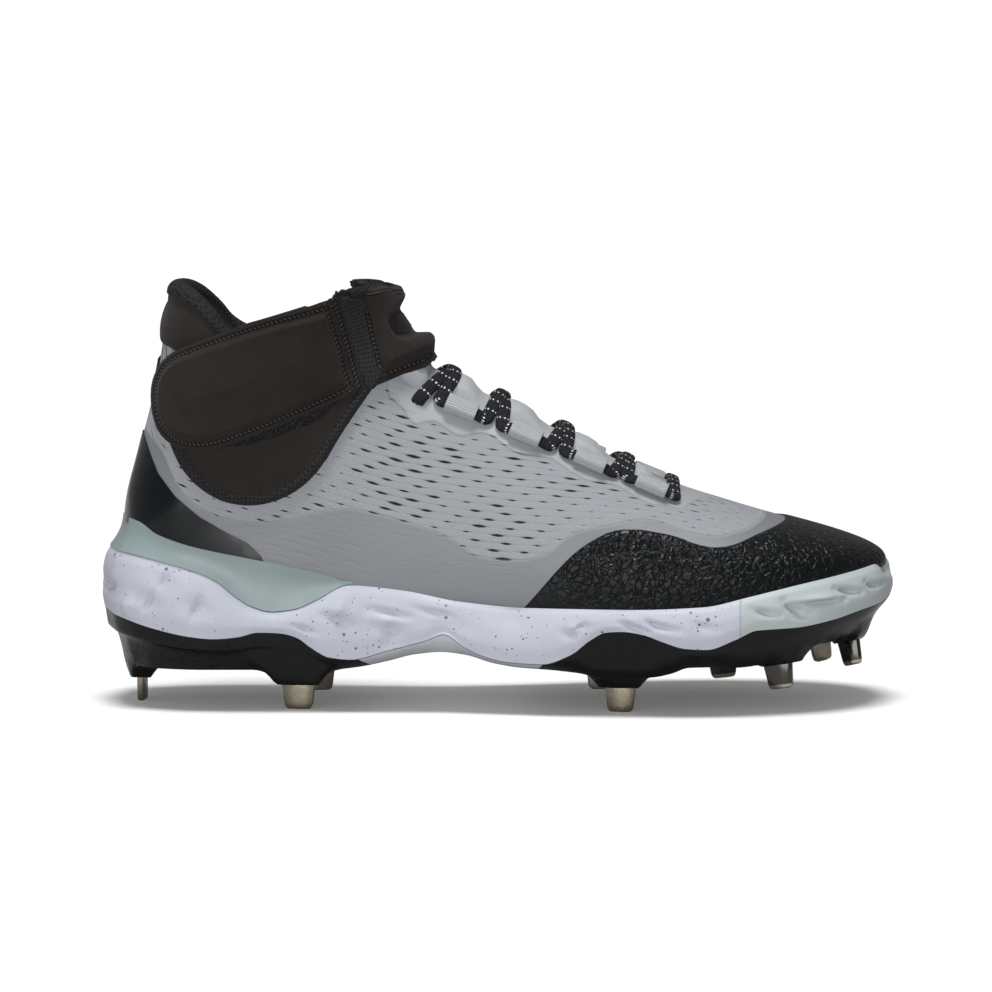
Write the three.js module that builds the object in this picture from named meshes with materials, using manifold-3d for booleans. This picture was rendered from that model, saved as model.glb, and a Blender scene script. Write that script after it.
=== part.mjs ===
// A mid cut baseball cleat for the right foot, as an assembly of separate named pieces.
// Millimetres, +Z up, +X towards the toe, -Y on the outer side of the foot.
// In the tables x is a share of SHOE_LENGTH, z is a share of BODY_HEIGHT above the studs' free
// length, and widths and insets are shares of BALL_WIDTH.

import * as THREE from "three";
import { mergeVertices } from "three/addons/utils/BufferGeometryUtils.js";
import Module from "manifold-3d";

const wasm = await Module();
wasm.setup();

// Driving dimensions
const SHOE_LENGTH = 300;
const BODY_HEIGHT = 149;
const BALL_WIDTH = 103;
const UPPER_WALL = 2.2;
const LINING_WALL = 4;
const INSOLE_THICKNESS = 3.5;
const PLATE_THICKNESS = 4.5;
const TOE_CAP_THICKNESS = 1;
const COUNTER_THICKNESS = 0.7;
const PANEL_THICKNESS = 1.8;
const PANEL_BINDING_WIDTH = 4.2;
const PANEL_BINDING_RISE = 0.5;
const COLLAR_BINDING_WIDTH = 4.6;
const COLLAR_BINDING_RISE = 0.6;
const STRAP_THICKNESS = 4.2;
const STRAP_RIM_THICKNESS = 1.6;
const STRAP_RIM_WIDTH = 5;
const STRAP_END_Y = 7;
const HEEL_PULL_WIDTH = 12;
const HEEL_PULL_RISE = 2.6;
const TONGUE_THICKNESS = 3;
const TONGUE_PANEL_THICKNESS = 3.4;
const TONGUE_PAD_HEIGHT = 3.4;
const LABEL_WIDTH = 24;
const LABEL_THICKNESS = 0.6;
const STUD_FREE_LENGTH = 9.3;
const STUD_ROOT_DEPTH = 2.5;
const STUD_WIDTH = 13;
const STUD_THICKNESS = 3;
const STUD_CORNER = 2.2;
const STUD_FOOT_SHARE = 0.8;
const LACE_WIDTH = 5.2;
const LACE_THICKNESS = 2.4;
const LACE_CLEARANCE = 0.5;
const LACE_ARCH = 1.6;
const LOOP_LENGTH = 12;
const LOOP_WALL = 0.9;
const LOOP_MOUTH_ROOM = 1.2;
const GAP = 0.3;

// How finely the curved forms are cut into facets
const FORM_RINGS = 20;
const FORM_SIDES = 16;
const SOLE_STATIONS = 20;
const CURVE_STEPS = 2;
const LACE_STEPS = 8;
const LACE_SIDES = 6;

const xOf = (share) => share * SHOE_LENGTH;
const yOf = (share) => share * BALL_WIDTH;
const zOf = (share) => STUD_FREE_LENGTH + share * BODY_HEIGHT;
const place = (x, z) => new THREE.Vector2(xOf(x), zOf(z));

// Rows of numbers with a name for each column
const table = (columns, rows) =>
  rows.map((row) => Object.fromEntries(columns.map((column, i) => [column, row[i]])));

// Sections of the last from the toe over the sole and heel to the collar. A section's plane runs
// from its outer point (sole, heel, then the back of the ankle) to its inner point (vamp, then
// instep). lat and med are half widths from the centre cy, belly is the share of the height where
// it is widest, and base and top are the roundness of its halves: 2 is an ellipse, 4 nearly square.
const LAST_COLUMNS = ["ox", "oz", "ix", "iz", "cy", "lat", "med", "belly", "base", "top"];
const LAST = table(LAST_COLUMNS, [
  [0.988, 0.287, 0.988, 0.287, 0.05, 0.005, 0.005, 0.5, 2.2, 2.2],
  [0.98, 0.256, 0.983, 0.31, 0.05, 0.12, 0.12, 0.5, 2.4, 2.3],
  [0.963, 0.243, 0.968, 0.33, 0.05, 0.21, 0.205, 0.42, 3, 2.3],
  [0.937, 0.23, 0.943, 0.35, 0.05, 0.305, 0.29, 0.38, 3.4, 2.3],
  [0.9, 0.213, 0.905, 0.374, 0.045, 0.39, 0.355, 0.36, 3.8, 2.3],
  [0.847, 0.189, 0.852, 0.404, 0.04, 0.465, 0.4, 0.35, 4, 2.2],
  [0.783, 0.159, 0.787, 0.444, 0.03, 0.505, 0.43, 0.34, 4, 2.1],
  [0.713, 0.138, 0.713, 0.495, 0.02, 0.51, 0.43, 0.32, 4, 1.98],
  [0.643, 0.129, 0.637, 0.572, 0.01, 0.485, 0.405, 0.29, 4, 1.85],
  [0.567, 0.132, 0.553, 0.659, 0, 0.44, 0.355, 0.26, 4, 1.76],
  [0.483, 0.142, 0.48, 0.733, 0, 0.395, 0.31, 0.24, 4, 1.72],
  [0.393, 0.152, 0.423, 0.79, 0, 0.36, 0.295, 0.23, 4, 1.76],
  [0.3, 0.158, 0.397, 0.834, 0, 0.34, 0.31, 0.23, 4, 1.88],
  [0.2, 0.159, 0.382, 0.874, 0, 0.335, 0.33, 0.24, 4, 2.05],
  [0.117, 0.162, 0.372, 0.904, 0, 0.32, 0.32, 0.28, 3.2, 2.15],
  [0.057, 0.206, 0.365, 0.928, 0, 0.31, 0.31, 0.33, 2.6, 2.2],
  [0.033, 0.307, 0.36, 0.944, 0, 0.31, 0.31, 0.36, 2.3, 2.2],
  [0.034, 0.441, 0.356, 0.961, 0, 0.305, 0.305, 0.38, 2.1, 2.25],
  [0.05, 0.575, 0.352, 0.978, 0, 0.3, 0.3, 0.4, 2.1, 2.3],
  [0.067, 0.709, 0.348, 0.995, 0, 0.305, 0.305, 0.43, 2.1, 2.3],
  [0.08, 0.844, 0.343, 1.011, 0, 0.32, 0.32, 0.46, 2.1, 2.3],
  [0.087, 0.958, 0.34, 1.028, 0, 0.335, 0.335, 0.5, 2.1, 2.3],
  [0.09, 1.092, 0.338, 1.092, 0, 0.34, 0.34, 0.5, 2.1, 2.3],
]);

// Plan outline of the sole: half widths on the outer and on the inner side of the foot
const SOLE_OUTLINE = table(["x", "lat", "med"], [
  [0, 0, 0], [0.02, 0.2, 0.2], [0.06, 0.315, 0.315], [0.127, 0.38, 0.375],
  [0.207, 0.39, 0.383], [0.3, 0.388, 0.36], [0.393, 0.4, 0.34], [0.483, 0.435, 0.355],
  [0.567, 0.485, 0.4], [0.643, 0.52, 0.455], [0.717, 0.535, 0.495], [0.787, 0.523, 0.505],
  [0.853, 0.475, 0.485], [0.907, 0.4, 0.44], [0.95, 0.295, 0.365], [0.98, 0.17, 0.265],
  [1, -0.05, 0.05],
]);

// Heights along the sole. The rim is the midsole's upper edge, midsole and plates meet at the
// joint, and ground is the plates' underside between the studs.
const SOLE_RIM = table(["x", "z"], [
  [0, 0.331], [0.04, 0.324], [0.083, 0.308], [0.125, 0.287], [0.151, 0.264], [0.175, 0.226],
  [0.195, 0.202], [0.22, 0.189], [0.247, 0.195], [0.275, 0.218], [0.316, 0.256], [0.382, 0.244],
  [0.452, 0.218], [0.533, 0.206], [0.653, 0.206], [0.753, 0.213], [0.812, 0.237], [0.88, 0.264],
  [0.983, 0.295], [1, 0.3],
]);
const SOLE_JOINT = table(["x", "z"], [
  [0, 0.178], [0.03, 0.165], [0.073, 0.144], [0.117, 0.128], [0.147, 0.123], [0.177, 0.128],
  [0.203, 0.14], [0.23, 0.138], [0.25, 0.128], [0.27, 0.1], [0.29, 0.078], [0.317, 0.072],
  [0.363, 0.095], [0.393, 0.111], [0.413, 0.123], [0.432, 0.138], [0.459, 0.105], [0.487, 0.081],
  [0.513, 0.071], [0.553, 0.068], [0.59, 0.094], [0.612, 0.129], [0.633, 0.151], [0.653, 0.153],
  [0.678, 0.146], [0.703, 0.128], [0.73, 0.112], [0.757, 0.109], [0.793, 0.133], [0.82, 0.155],
  [0.873, 0.159], [0.915, 0.171], [0.959, 0.19], [1, 0.202],
]);
const SOLE_GROUND = table(["x", "z"], [
  [0, 0.038], [0.04, 0.036], [0.117, 0.037], [0.2, 0.038], [0.25, 0.035], [0.293, 0.038],
  [0.327, 0.046], [0.363, 0.062], [0.393, 0.078], [0.427, 0.085], [0.457, 0.078], [0.487, 0.06],
  [0.52, 0.05], [0.56, 0.046], [0.6, 0.039], [0.64, 0.033], [0.687, 0.032], [0.713, 0.041],
  [0.737, 0.056], [0.767, 0.057], [0.8, 0.055], [0.833, 0.06], [0.863, 0.072], [0.883, 0.096],
  [0.917, 0.103], [0.957, 0.109], [1, 0.146],
]);

// How far the side of each sole piece stands in from the plan outline, from its foot to its top
const MIDSOLE_SIDE = table(["up", "inset"], [[0, 0.01], [0.3, 0], [0.55, 0.002], [0.86, 0.016], [1, 0.034]]);
const PLATE_SIDE = table(["up", "inset"], [[0, 0.1], [0.28, 0.082], [0.6, 0.05], [0.66, 0.024], [1, 0.012]]);
// The plates are a cup under the midsole, with these insets at its mouth and its floor
const CUP_MOUTH_INSET = 0.042;
const CUP_FLOOR_INSET = 0.13;
const CUP_LEAST_DEPTH = 0.5;

// Upper edge of the heel clip, and how far it stands in from the plan outline
const CLIP_EDGE = table(["x", "z", "inset"], [
  [0, 0.411, 0.084], [0.033, 0.403, 0.076], [0.067, 0.375, 0.06],
  [0.12, 0.348, 0.046], [0.2, 0.317, 0.04], [0.267, 0.289, 0.038],
  [0.31, 0.264, 0.036],
]);

// Studs: place of the tip's middle, share of the blade's width, turn about the vertical and lean
// forwards, both in degrees
const STUDS = table(["name", "x", "y", "width", "turn", "lean"], [
  ["heel_rear", 0.052, 0, 1.15, 88, 0],
  ["heel_outer", 0.252, -0.26, 1, -8, 0],
  ["heel_inner", 0.272, 0.25, 1, 12, 0],
  ["ball_outer", 0.652, -0.34, 0.92, -10, 0],
  ["ball_inner", 0.632, 0.28, 0.92, 12, 0],
  ["front_outer", 0.852, -0.335, 0.88, -16, 9],
  ["front_inner", 0.79, 0.36, 0.92, 10, 5],
  ["toe_outer", 0.945, -0.12, 0.73, -38, 14],
  ["toe_inner", 0.915, 0.25, 0.73, 30, 12],
]);
// Height of a stud's tip above the floor: flat as far as the ball, then up with the toe spring
const ROCKER = table(["x", "z"], [
  [0, 0], [0.66, 0], [0.79, 0.022], [0.852, 0.058], [0.915, 0.077], [0.945, 0.098],
]);
// The boss round a stud widens upwards into the plate: room beyond the blade's width and thickness
const BOSS_ROWS = table(["up", "wider", "deeper"], [[0, 4, 6], [3.5, 9, 12], [9, 17, 18]]);
const BOSS_CHAMFER_SHARE = 0.33;
// Where the plates meet, at their top and at their foot
const HEEL_CUT = { top: 0.306, foot: 0.352 };
const FRONT_CUT = { top: 0.566, foot: 0.546 };
const CUT_BENDS = { foot: 0.04, top: 0.1 };

// Side view outlines as [x, z] pairs of shares. Collar lines run from the heel to the front.
const LINING_TOP = [
  [0.04, 0.985], [0.085, 1.005], [0.112, 0.99], [0.14, 0.945], [0.165, 0.895], [0.2, 0.865],
  [0.25, 0.87], [0.29, 0.9], [0.33, 0.96], [0.36, 1.0],
];
const LINING_FOOT = [[0, 0.56], [0.12, 0.5], [0.24, 0.5], [0.34, 0.66], [0.42, 0.86]];
const UPPER_TOP = [
  [0.03, 0.82], [0.085, 0.845], [0.13, 0.79], [0.19, 0.76], [0.25, 0.765], [0.31, 0.8],
  [0.36, 0.86], [0.42, 0.92],
];
const PANEL_EDGE = [
  [0.1, 0.6], [0.112, 0.548], [0.133, 0.5], [0.163, 0.466], [0.2, 0.457], [0.24, 0.48],
  [0.275, 0.536], [0.31, 0.645], [0.345, 0.748],
];
const PANEL_TOP = [
  [0.345, 0.748], [0.34, 0.81], [0.3, 0.785], [0.25, 0.75], [0.19, 0.745], [0.13, 0.775],
  [0.103, 0.755], [0.094, 0.7], [0.1, 0.6],
];
const STRAP = [
  [0.303, 0.985], [0.29, 0.965], [0.2, 0.915], [0.12, 0.855], [0.086, 0.815], [0.069, 0.755],
  [0.069, 0.69], [0.079, 0.635], [0.1, 0.602], [0.13, 0.592], [0.165, 0.605], [0.242, 0.664],
  [0.31, 0.722], [0.33, 0.74], [0.333, 0.76], [0.318, 0.87],
];
// The strap's padded body is its outline drawn in towards this line
const STRAP_CORE = { back: [0.12, 0.71], front: [0.27, 0.82] };
const STRAP_LINK = [[0.309, 0.98], [0.325, 0.87], [0.342, 0.755], [0.368, 0.775], [0.33, 0.97]];
const TONGUE_PANEL = [
  [0.318, 0.985], [0.352, 0.753], [0.384, 0.777], [0.412, 0.792], [0.422, 0.808], [0.45, 0.85],
  [0.45, 1.2], [0.3, 1.2],
];
const TONGUE_PANEL_TOP = [
  [0.28, 0.975], [0.295, 0.98], [0.312, 1], [0.352, 1.008], [0.366, 0.993], [0.46, 0.96],
];
const TONGUE_PAD = [
  [0.333, 0.989], [0.366, 0.995], [0.381, 0.97], [0.383, 0.94], [0.369, 0.924], [0.364, 0.897],
  [0.376, 0.864], [0.397, 0.869], [0.413, 0.864], [0.42, 0.836], [0.416, 0.816], [0.383, 0.795],
  [0.359, 0.785], [0.349, 0.845], [0.338, 0.926],
];
const LABEL = [[0.372, 0.918], [0.372, 0.874], [0.44, 0.874], [0.44, 0.918]];
const TONGUE_TOP = [[0.15, 0.88], [0.24, 0.93], [0.33, 0.965], [0.45, 0.98]];
const CAP_EDGE = [
  [0.53, 0.2], [0.553, 0.253], [0.573, 0.3], [0.6, 0.352], [0.635, 0.392], [0.665, 0.4],
  [0.695, 0.393], [0.72, 0.382], [0.745, 0.364], [0.77, 0.356], [0.793, 0.362], [0.82, 0.383],
  [0.85, 0.407], [0.875, 0.425], [0.9, 0.432], [0.915, 0.45],
];
const COUNTER_EDGE = [
  [0.045, 0.665], [0.062, 0.6], [0.078, 0.53], [0.1, 0.475], [0.13, 0.425], [0.16, 0.39],
  [0.19, 0.36], [0.206, 0.33],
];
const HEEL_PULL = [[-0.1, 0.815], [-0.1, 0.7], [0.12, 0.7], [0.12, 0.815]];

// Half width of the throat in turns round the last, at places along it from the toe's end
const THROAT = table(["x", "reach"], [
  [7.05, 0.02], [7.2, 0.045], [7.6, 0.058], [9, 0.064], [10.5, 0.072],
  [11.6, 0.085], [13.5, 0.085], [16, 0.085], [19.8, 0.085],
]);
const ZONE_RISE = 3;
const THROAT_DEPTH = 14;
const TONGUE_FLANGE = 1.7;
const TONGUE_SIDE_ROOM = 0.008;
const TONGUE_TOE_ROOM = 0.02;
const TONGUE_TOE_LAP = 0.15;
const COLLAR_ROOM = table(["x"], [[9.5], [11.6], [14], [17], [22]]);
const COLLAR_SIDE_ROOM = 0.012;
const INSOLE_STOPS = [3.6, 5, 6.5, 8, 9.5, 11, 12.5, 14.3];
const INSOLE_REACH = 0.13;
const INSOLE_ZONE_DEPTH = 9;
const SOLE_OPENING = { from: 0.1, to: 0.92, inset: 0.13, top: 0.265, steps: 12 };

// Lace loops on both sides of the throat, from the ankle forwards: place along the last and turns
// from its middle. The top ends of the lace go into eyelets.
const LACE_LOOPS = table(["u", "turn"], [[10.41, 0.094], [9.28, 0.094], [8.31, 0.09], [7.34, 0.084]]);
const LOOP_LIFT = 0.25;
const EYELET = { u: 11.5, turn: 0.104 };
const TOP_CROSSING_BOW = -0.55;

// A smooth value of one column at a place along x, with no overshoot
function along(rows, column, at) {
  const last = rows.length - 1;
  if (at <= rows[0].x) return rows[0][column];
  if (at >= rows[last].x) return rows[last][column];
  let i = 0;
  while (rows[i + 1].x < at) i += 1;
  const slope = (k) => (rows[k + 1][column] - rows[k][column]) / (rows[k + 1].x - rows[k].x);
  const tangent = (k) => {
    if (k === 0) return slope(0);
    if (k === last) return slope(last - 1);
    const [before, after] = [slope(k - 1), slope(k)];
    return before * after <= 0 ? 0 : (2 * before * after) / (before + after);
  };
  const span = rows[i + 1].x - rows[i].x;
  const t = (at - rows[i].x) / span;
  return (
    rows[i][column] * (1 + 2 * t) * (1 - t) ** 2 +
    rows[i + 1][column] * t * t * (3 - 2 * t) +
    span * (tangent(i) * t * (1 - t) ** 2 - tangent(i + 1) * t * t * (1 - t))
  );
}

// The last's section at u, counted in rows of LAST, on a smooth curve through the rows
function sectionAt(u) {
  const last = LAST.length - 1;
  const i = Math.min(Math.max(Math.floor(u), 0), last - 1);
  const t = u - i;
  const row = (k) => LAST[Math.min(Math.max(k, 0), last)];
  const section = {};
  for (const column of LAST_COLUMNS) {
    const [a, b, c, d] = [i - 1, i, i + 1, i + 2].map((k) => row(k)[column]);
    const bend = 2 * a - 5 * b + 4 * c - d + t * (3 * (b - c) + d - a);
    section[column] = b + (t * (c - a + t * bend)) / 2;
  }
  return section;
}

const powerOf = (value, power) => Math.sign(value) * Math.abs(value) ** power;

// A point of the last's skin. turn runs from 0 at the outer point, round the outer side of the
// foot, to 0.5 at the inner point, and back round the inner side of the foot to 1.
function lastPoint(u, turn) {
  const s = sectionAt(Math.max(u, 0));
  const angle = 2 * Math.PI * turn;
  const rise = -Math.cos(angle);
  const side = -Math.sin(angle);
  const power = 2 / (rise < 0 ? s.base : s.top);
  const reach = rise < 0 ? s.belly : 1 - s.belly;
  const share = s.belly + reach * powerOf(rise, power);
  const width = side < 0 ? s.lat : s.med;
  return new THREE.Vector3(
    xOf(s.ox + (s.ix - s.ox) * share),
    yOf(s.cy + width * powerOf(side, power)),
    zOf(s.oz + (s.iz - s.oz) * share),
  );
}

function lastNormal(u, turn) {
  const stepU = 0.15;
  const stepTurn = 0.012;
  const alongTurn = lastPoint(u, turn + stepTurn).sub(lastPoint(u, turn - stepTurn));
  const alongLength = lastPoint(u + stepU, turn).sub(lastPoint(u - stepU, turn));
  return alongTurn.cross(alongLength).normalize();
}

const skinPoint = (u, turn, offset) => lastPoint(u, turn).addScaledVector(lastNormal(u, turn), offset);

function solidOf(geometry) {
  const bare = geometry.clone();
  bare.deleteAttribute("normal");
  bare.deleteAttribute("uv");
  const merged = mergeVertices(bare, 1e-4);
  return new wasm.Manifold(
    new wasm.Mesh({
      numProp: 3,
      vertProperties: new Float32Array(merged.attributes.position.array),
      triVerts: new Uint32Array(merged.index.array),
    }),
  );
}

function solidFrom(points, triangles) {
  const geometry = new THREE.BufferGeometry().setFromPoints(points);
  geometry.setIndex(triangles.flat());
  return solidOf(geometry);
}

// Triangles between two closed rings of the same count. A wall that lies against another piece's
// wall, which was made from its other edge, is turned to share its diagonals.
function ringWall(lower, upper, count, turned = false) {
  const faces = [];
  for (let k = 0; k < count; k += 1) {
    const next = (k + 1) % count;
    const [a, b, c, d] = [lower + k, lower + next, upper + next, upper + k];
    faces.push(...(turned ? [[a, b, d], [b, c, d]] : [[a, b, c], [a, c, d]]));
  }
  return faces;
}

// Triangles that fan over a flat ring, facing down
const ringFan = (start, count) =>
  Array.from({ length: count - 2 }, (_, k) => [start, start + k + 2, start + k + 1]);
const turnedOver = (faces) => faces.map(([a, b, c]) => [a, c, b]);

// Triangles of a slab between two grids of the same size, the outer grid's points first
function slabFaces(rows, columns) {
  const skin = (rows + 1) * (columns + 1);
  const at = (i, j, inner) => inner * skin + i * (columns + 1) + j;
  const faces = [];
  const quad = (a, b, c, d) => faces.push([a, b, c], [a, c, d]);
  for (let i = 0; i < rows; i += 1) {
    for (let j = 0; j < columns; j += 1) {
      quad(at(i, j, 0), at(i, j + 1, 0), at(i + 1, j + 1, 0), at(i + 1, j, 0));
      quad(at(i, j, 1), at(i + 1, j, 1), at(i + 1, j + 1, 1), at(i, j + 1, 1));
    }
    quad(at(i, 0, 0), at(i + 1, 0, 0), at(i + 1, 0, 1), at(i, 0, 1));
    quad(at(i, columns, 0), at(i, columns, 1), at(i + 1, columns, 1), at(i + 1, columns, 0));
  }
  for (let j = 0; j < columns; j += 1) {
    quad(at(0, j, 0), at(0, j, 1), at(0, j + 1, 1), at(0, j + 1, 0));
    quad(at(rows, j, 0), at(rows, j + 1, 0), at(rows, j + 1, 1), at(rows, j, 1));
  }
  return faces;
}

// The last grown by an offset, as a closed solid whose top lies above every collar
function formSolid(offset) {
  const tip = new THREE.Vector3(xOf(LAST[0].ox) + offset, yOf(LAST[0].cy), zOf(LAST[0].oz));
  const points = [tip];
  const faces = [];
  for (let ring = 1; ring <= FORM_RINGS; ring += 1) {
    const u = ((LAST.length - 1) * ring) / FORM_RINGS;
    for (let k = 0; k < FORM_SIDES; k += 1) points.push(skinPoint(u, k / FORM_SIDES, offset));
    const start = 1 + (ring - 1) * FORM_SIDES;
    if (ring > 1) faces.push(...ringWall(start - FORM_SIDES, start, FORM_SIDES));
  }
  for (let k = 0; k < FORM_SIDES; k += 1) faces.push([0, 1 + ((k + 1) % FORM_SIDES), 1 + k]);
  faces.push(...turnedOver(ringFan(points.length - FORM_SIDES, FORM_SIDES)));
  return solidFrom(points, faces);
}

const forms = new Map();
function form(offset) {
  if (!forms.has(offset)) forms.set(offset, formSolid(offset));
  return forms.get(offset);
}
const layer = (inner, outer) => form(outer).subtract(form(inner));

// A slab across the whole shoe, or part of it, with its outline given in the side view
function sidePrism(outline, fromY = -BALL_WIDTH, toY = BALL_WIDTH) {
  const geometry = new THREE.ExtrudeGeometry(new THREE.Shape(outline), {
    depth: toY - fromY,
    bevelEnabled: false,
  });
  geometry.rotateX(Math.PI / 2);
  geometry.translate(0, toY, 0);
  return solidOf(geometry);
}

// The same on one side of the shoe only, from a distance off its middle plane
const halfPrism = (outline, side, from) =>
  side < 0 ? sidePrism(outline, -BALL_WIDTH, -from) : sidePrism(outline, from, BALL_WIDTH);

const flat = (p) => new THREE.Vector3(p.x, p.y, 0);
const places = (pairs) => pairs.map(([x, z]) => place(x, z));
const curveThrough = (pairs) =>
  new THREE.SplineCurve(places(pairs)).getPoints((pairs.length - 1) * CURVE_STEPS);
const closedCurve = (pairs) => curveThrough([...pairs, pairs[0]]).slice(0, -1);

// A run of points moved to the left of its direction
function movedLeft(run, distance, closed = false) {
  const last = run.length - 1;
  return run.map((p, i) => {
    const before = run[i - 1] ?? (closed ? run[last] : p);
    const after = run[i + 1] ?? (closed ? run[0] : p);
    const left = new THREE.Vector2(before.y - after.y, after.x - before.x);
    return p.clone().add(left.setLength(distance));
  });
}

// Everything above, or below, a run of points, as a slab
function cutAlong(run, farZ, makePrism = sidePrism) {
  const [low, high] = [xOf(-0.1), xOf(1.1)];
  const first = new THREE.Vector2(Math.min(low, run[0].x), run[0].y);
  const last = new THREE.Vector2(high, run.at(-1).y);
  const corners = [new THREE.Vector2(high, farZ), new THREE.Vector2(low, farZ)];
  return makePrism([first, ...run, last, ...corners]);
}
const lowered = (run, drop) => run.map((p) => new THREE.Vector2(p.x, p.y - drop));
const above = (pairs, lift = 0) => cutAlong(lowered(curveThrough(pairs), -lift), zOf(1.4));
const below = (pairs, drop = 0) => cutAlong(lowered(curveThrough(pairs), drop), zOf(-0.2));

// The sole's plan: stations along its length, closer together at the two ends
const stations = Array.from({ length: SOLE_STATIONS + 1 }, (_, i) => {
  const t = i / SOLE_STATIONS;
  return t - 0.105 * Math.sin(2 * Math.PI * t);
});

// Stations on both sides as one ring: tail, outer side forwards, tip, inner side back
const soleRing = [
  ...stations.map((x) => ({ x, side: "lat" })),
  ...stations.slice(1, -1).reverse().map((x) => ({ x, side: "med" })),
];
const ringCount = soleRing.length;
const ringPlan = soleRing.map(({ x, side }) => {
  const width = yOf(along(SOLE_OUTLINE, side, x));
  return new THREE.Vector2(xOf(x), side === "lat" ? -width : width);
});

// One ring of the sole: the plan outline set in by a share, at a height that follows the length
function soleLevel(insetAt, heightAt) {
  return soleRing.map(({ x }, k) => {
    const [inset, height] = [yOf(insetAt(x)), heightAt(x)];
    const p = movedLeft(ringPlan, inset, true)[k];
    return new THREE.Vector3(p.x, p.y, height);
  });
}

// A solid through several sole rings, closed by strips across the foot at both ends
function soleSolid(rings, turnedWalls = 0) {
  const walls = [];
  for (let level = 1; level < rings.length; level += 1) {
    const start = (level - 1) * ringCount;
    walls.push(...ringWall(start, start + ringCount, ringCount, level <= turnedWalls));
  }
  const across = [];
  for (let i = 0; i < SOLE_STATIONS; i += 1) {
    const [med, medNext] = [(ringCount - i) % ringCount, ringCount - i - 1];
    across.push([i, med, i + 1], [med, medNext, i + 1]);
  }
  const strips = across.filter((face) => new Set(face).size === 3);
  const top = (rings.length - 1) * ringCount;
  const lid = turnedOver(strips).map((face) => face.map((index) => index + top));
  return solidFrom(rings.flat(), [...walls, ...strips, ...lid]);
}

const rimHeight = (x) => zOf(along(SOLE_RIM, "z", x));
const jointHeight = (x) => zOf(along(SOLE_JOINT, "z", x));
const groundHeight = (x) => zOf(along(SOLE_GROUND, "z", x));
const cupFloor = (x) => Math.min(jointHeight(x) - CUP_LEAST_DEPTH, groundHeight(x) + PLATE_THICKNESS);
const between = (lower, upper, up) => (x) => lower(x) + up * (upper(x) - lower(x));
const plateEdge = (x) => jointHeight(x) - GAP;

const gapShare = GAP / BALL_WIDTH;
const plateCup = [
  soleLevel(() => CUP_MOUTH_INSET, plateEdge),
  soleLevel(() => CUP_FLOOR_INSET, cupFloor),
];
const midsoleFoot = [
  soleLevel(() => CUP_FLOOR_INSET + gapShare, (x) => cupFloor(x) + GAP),
  soleLevel(() => CUP_MOUTH_INSET + gapShare, jointHeight),
];
const midsoleSide = MIDSOLE_SIDE.map(({ up, inset }) =>
  soleLevel(() => inset, between(jointHeight, rimHeight, up)),
);
const clipEdge = soleLevel(
  (x) => along(CLIP_EDGE, "inset", x),
  (x) => Math.max(zOf(along(CLIP_EDGE, "z", x)), rimHeight(x) + 2 * GAP),
);

// Everything above one ring of the sole, with a gap
function aboveLevel(level) {
  const run = (points) => points.map((p) => new THREE.Vector2(p.x, p.z + GAP));
  const outer = run(level.slice(0, SOLE_STATIONS + 1));
  const inner = run([level[0], ...level.slice(SOLE_STATIONS).reverse()]);
  const cut = (points, side) => cutAlong(points, zOf(1), (outline) => halfPrism(outline, side, -GAP));
  return cut(outer, -1).add(cut(inner, 1));
}

function midsole() {
  return soleSolid([...midsoleFoot, ...midsoleSide], midsoleFoot.length).subtract(form(GAP));
}

function heelClip() {
  const rim = soleLevel(() => MIDSOLE_SIDE.at(-1).inset, (x) => rimHeight(x) + GAP);
  const front = CLIP_EDGE.at(-1).x;
  const keep = places([[-0.1, 0], [front, 0], [front, 1], [-0.1, 1]]);
  return soleSolid([rim, clipEdge]).intersect(sidePrism(keep)).subtract(form(GAP));
}

function plateBody() {
  const rings = PLATE_SIDE.map(({ up, inset }) =>
    soleLevel(() => inset, between(groundHeight, plateEdge, up)),
  );
  return soleSolid([...rings, ...plateCup]);
}

// The room above the plates, for keeping the bosses below it
function abovePlates() {
  const outside = -0.02;
  const floor = plateCup[1].map((p) => new THREE.Vector3(p.x, p.y, p.z - 0.01));
  const edges = [plateEdge, rimHeight].map((height) => soleLevel(() => outside, height));
  const rings = [floor, plateCup[0], ...edges];
  return soleSolid(rings, midsoleFoot.length);
}

function studPlace(stud) {
  const tip = along(ROCKER, "z", stud.x) * BODY_HEIGHT;
  const turned = new THREE.Matrix4().makeRotationZ(THREE.MathUtils.degToRad(stud.turn));
  const leant = new THREE.Matrix4().makeRotationY(THREE.MathUtils.degToRad(-stud.lean));
  return turned.multiply(leant).setPosition(xOf(stud.x), yOf(stud.y), tip);
}

// A blade that narrows to a foot with rounded corners
function studBlade(stud, grow = 0) {
  const half = (stud.width * STUD_WIDTH) / 2 + grow;
  const foot = half * STUD_FOOT_SHARE;
  const top = STUD_FREE_LENGTH + STUD_ROOT_DEPTH + grow;
  const shape = new THREE.Shape();
  shape.moveTo(-foot + STUD_CORNER, 0);
  shape.lineTo(foot - STUD_CORNER, 0);
  shape.quadraticCurveTo(foot, 0, foot, STUD_CORNER);
  shape.lineTo(half, top);
  shape.lineTo(-half, top);
  shape.lineTo(-foot, STUD_CORNER);
  shape.quadraticCurveTo(-foot, 0, -foot + STUD_CORNER, 0);
  const depth = STUD_THICKNESS + 2 * grow;
  const geometry = new THREE.ExtrudeGeometry(shape, { depth, bevelEnabled: false, curveSegments: 2 });
  geometry.translate(0, 0, -depth / 2);
  geometry.rotateX(Math.PI / 2);
  geometry.applyMatrix4(studPlace(stud));
  return solidOf(geometry);
}

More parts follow.
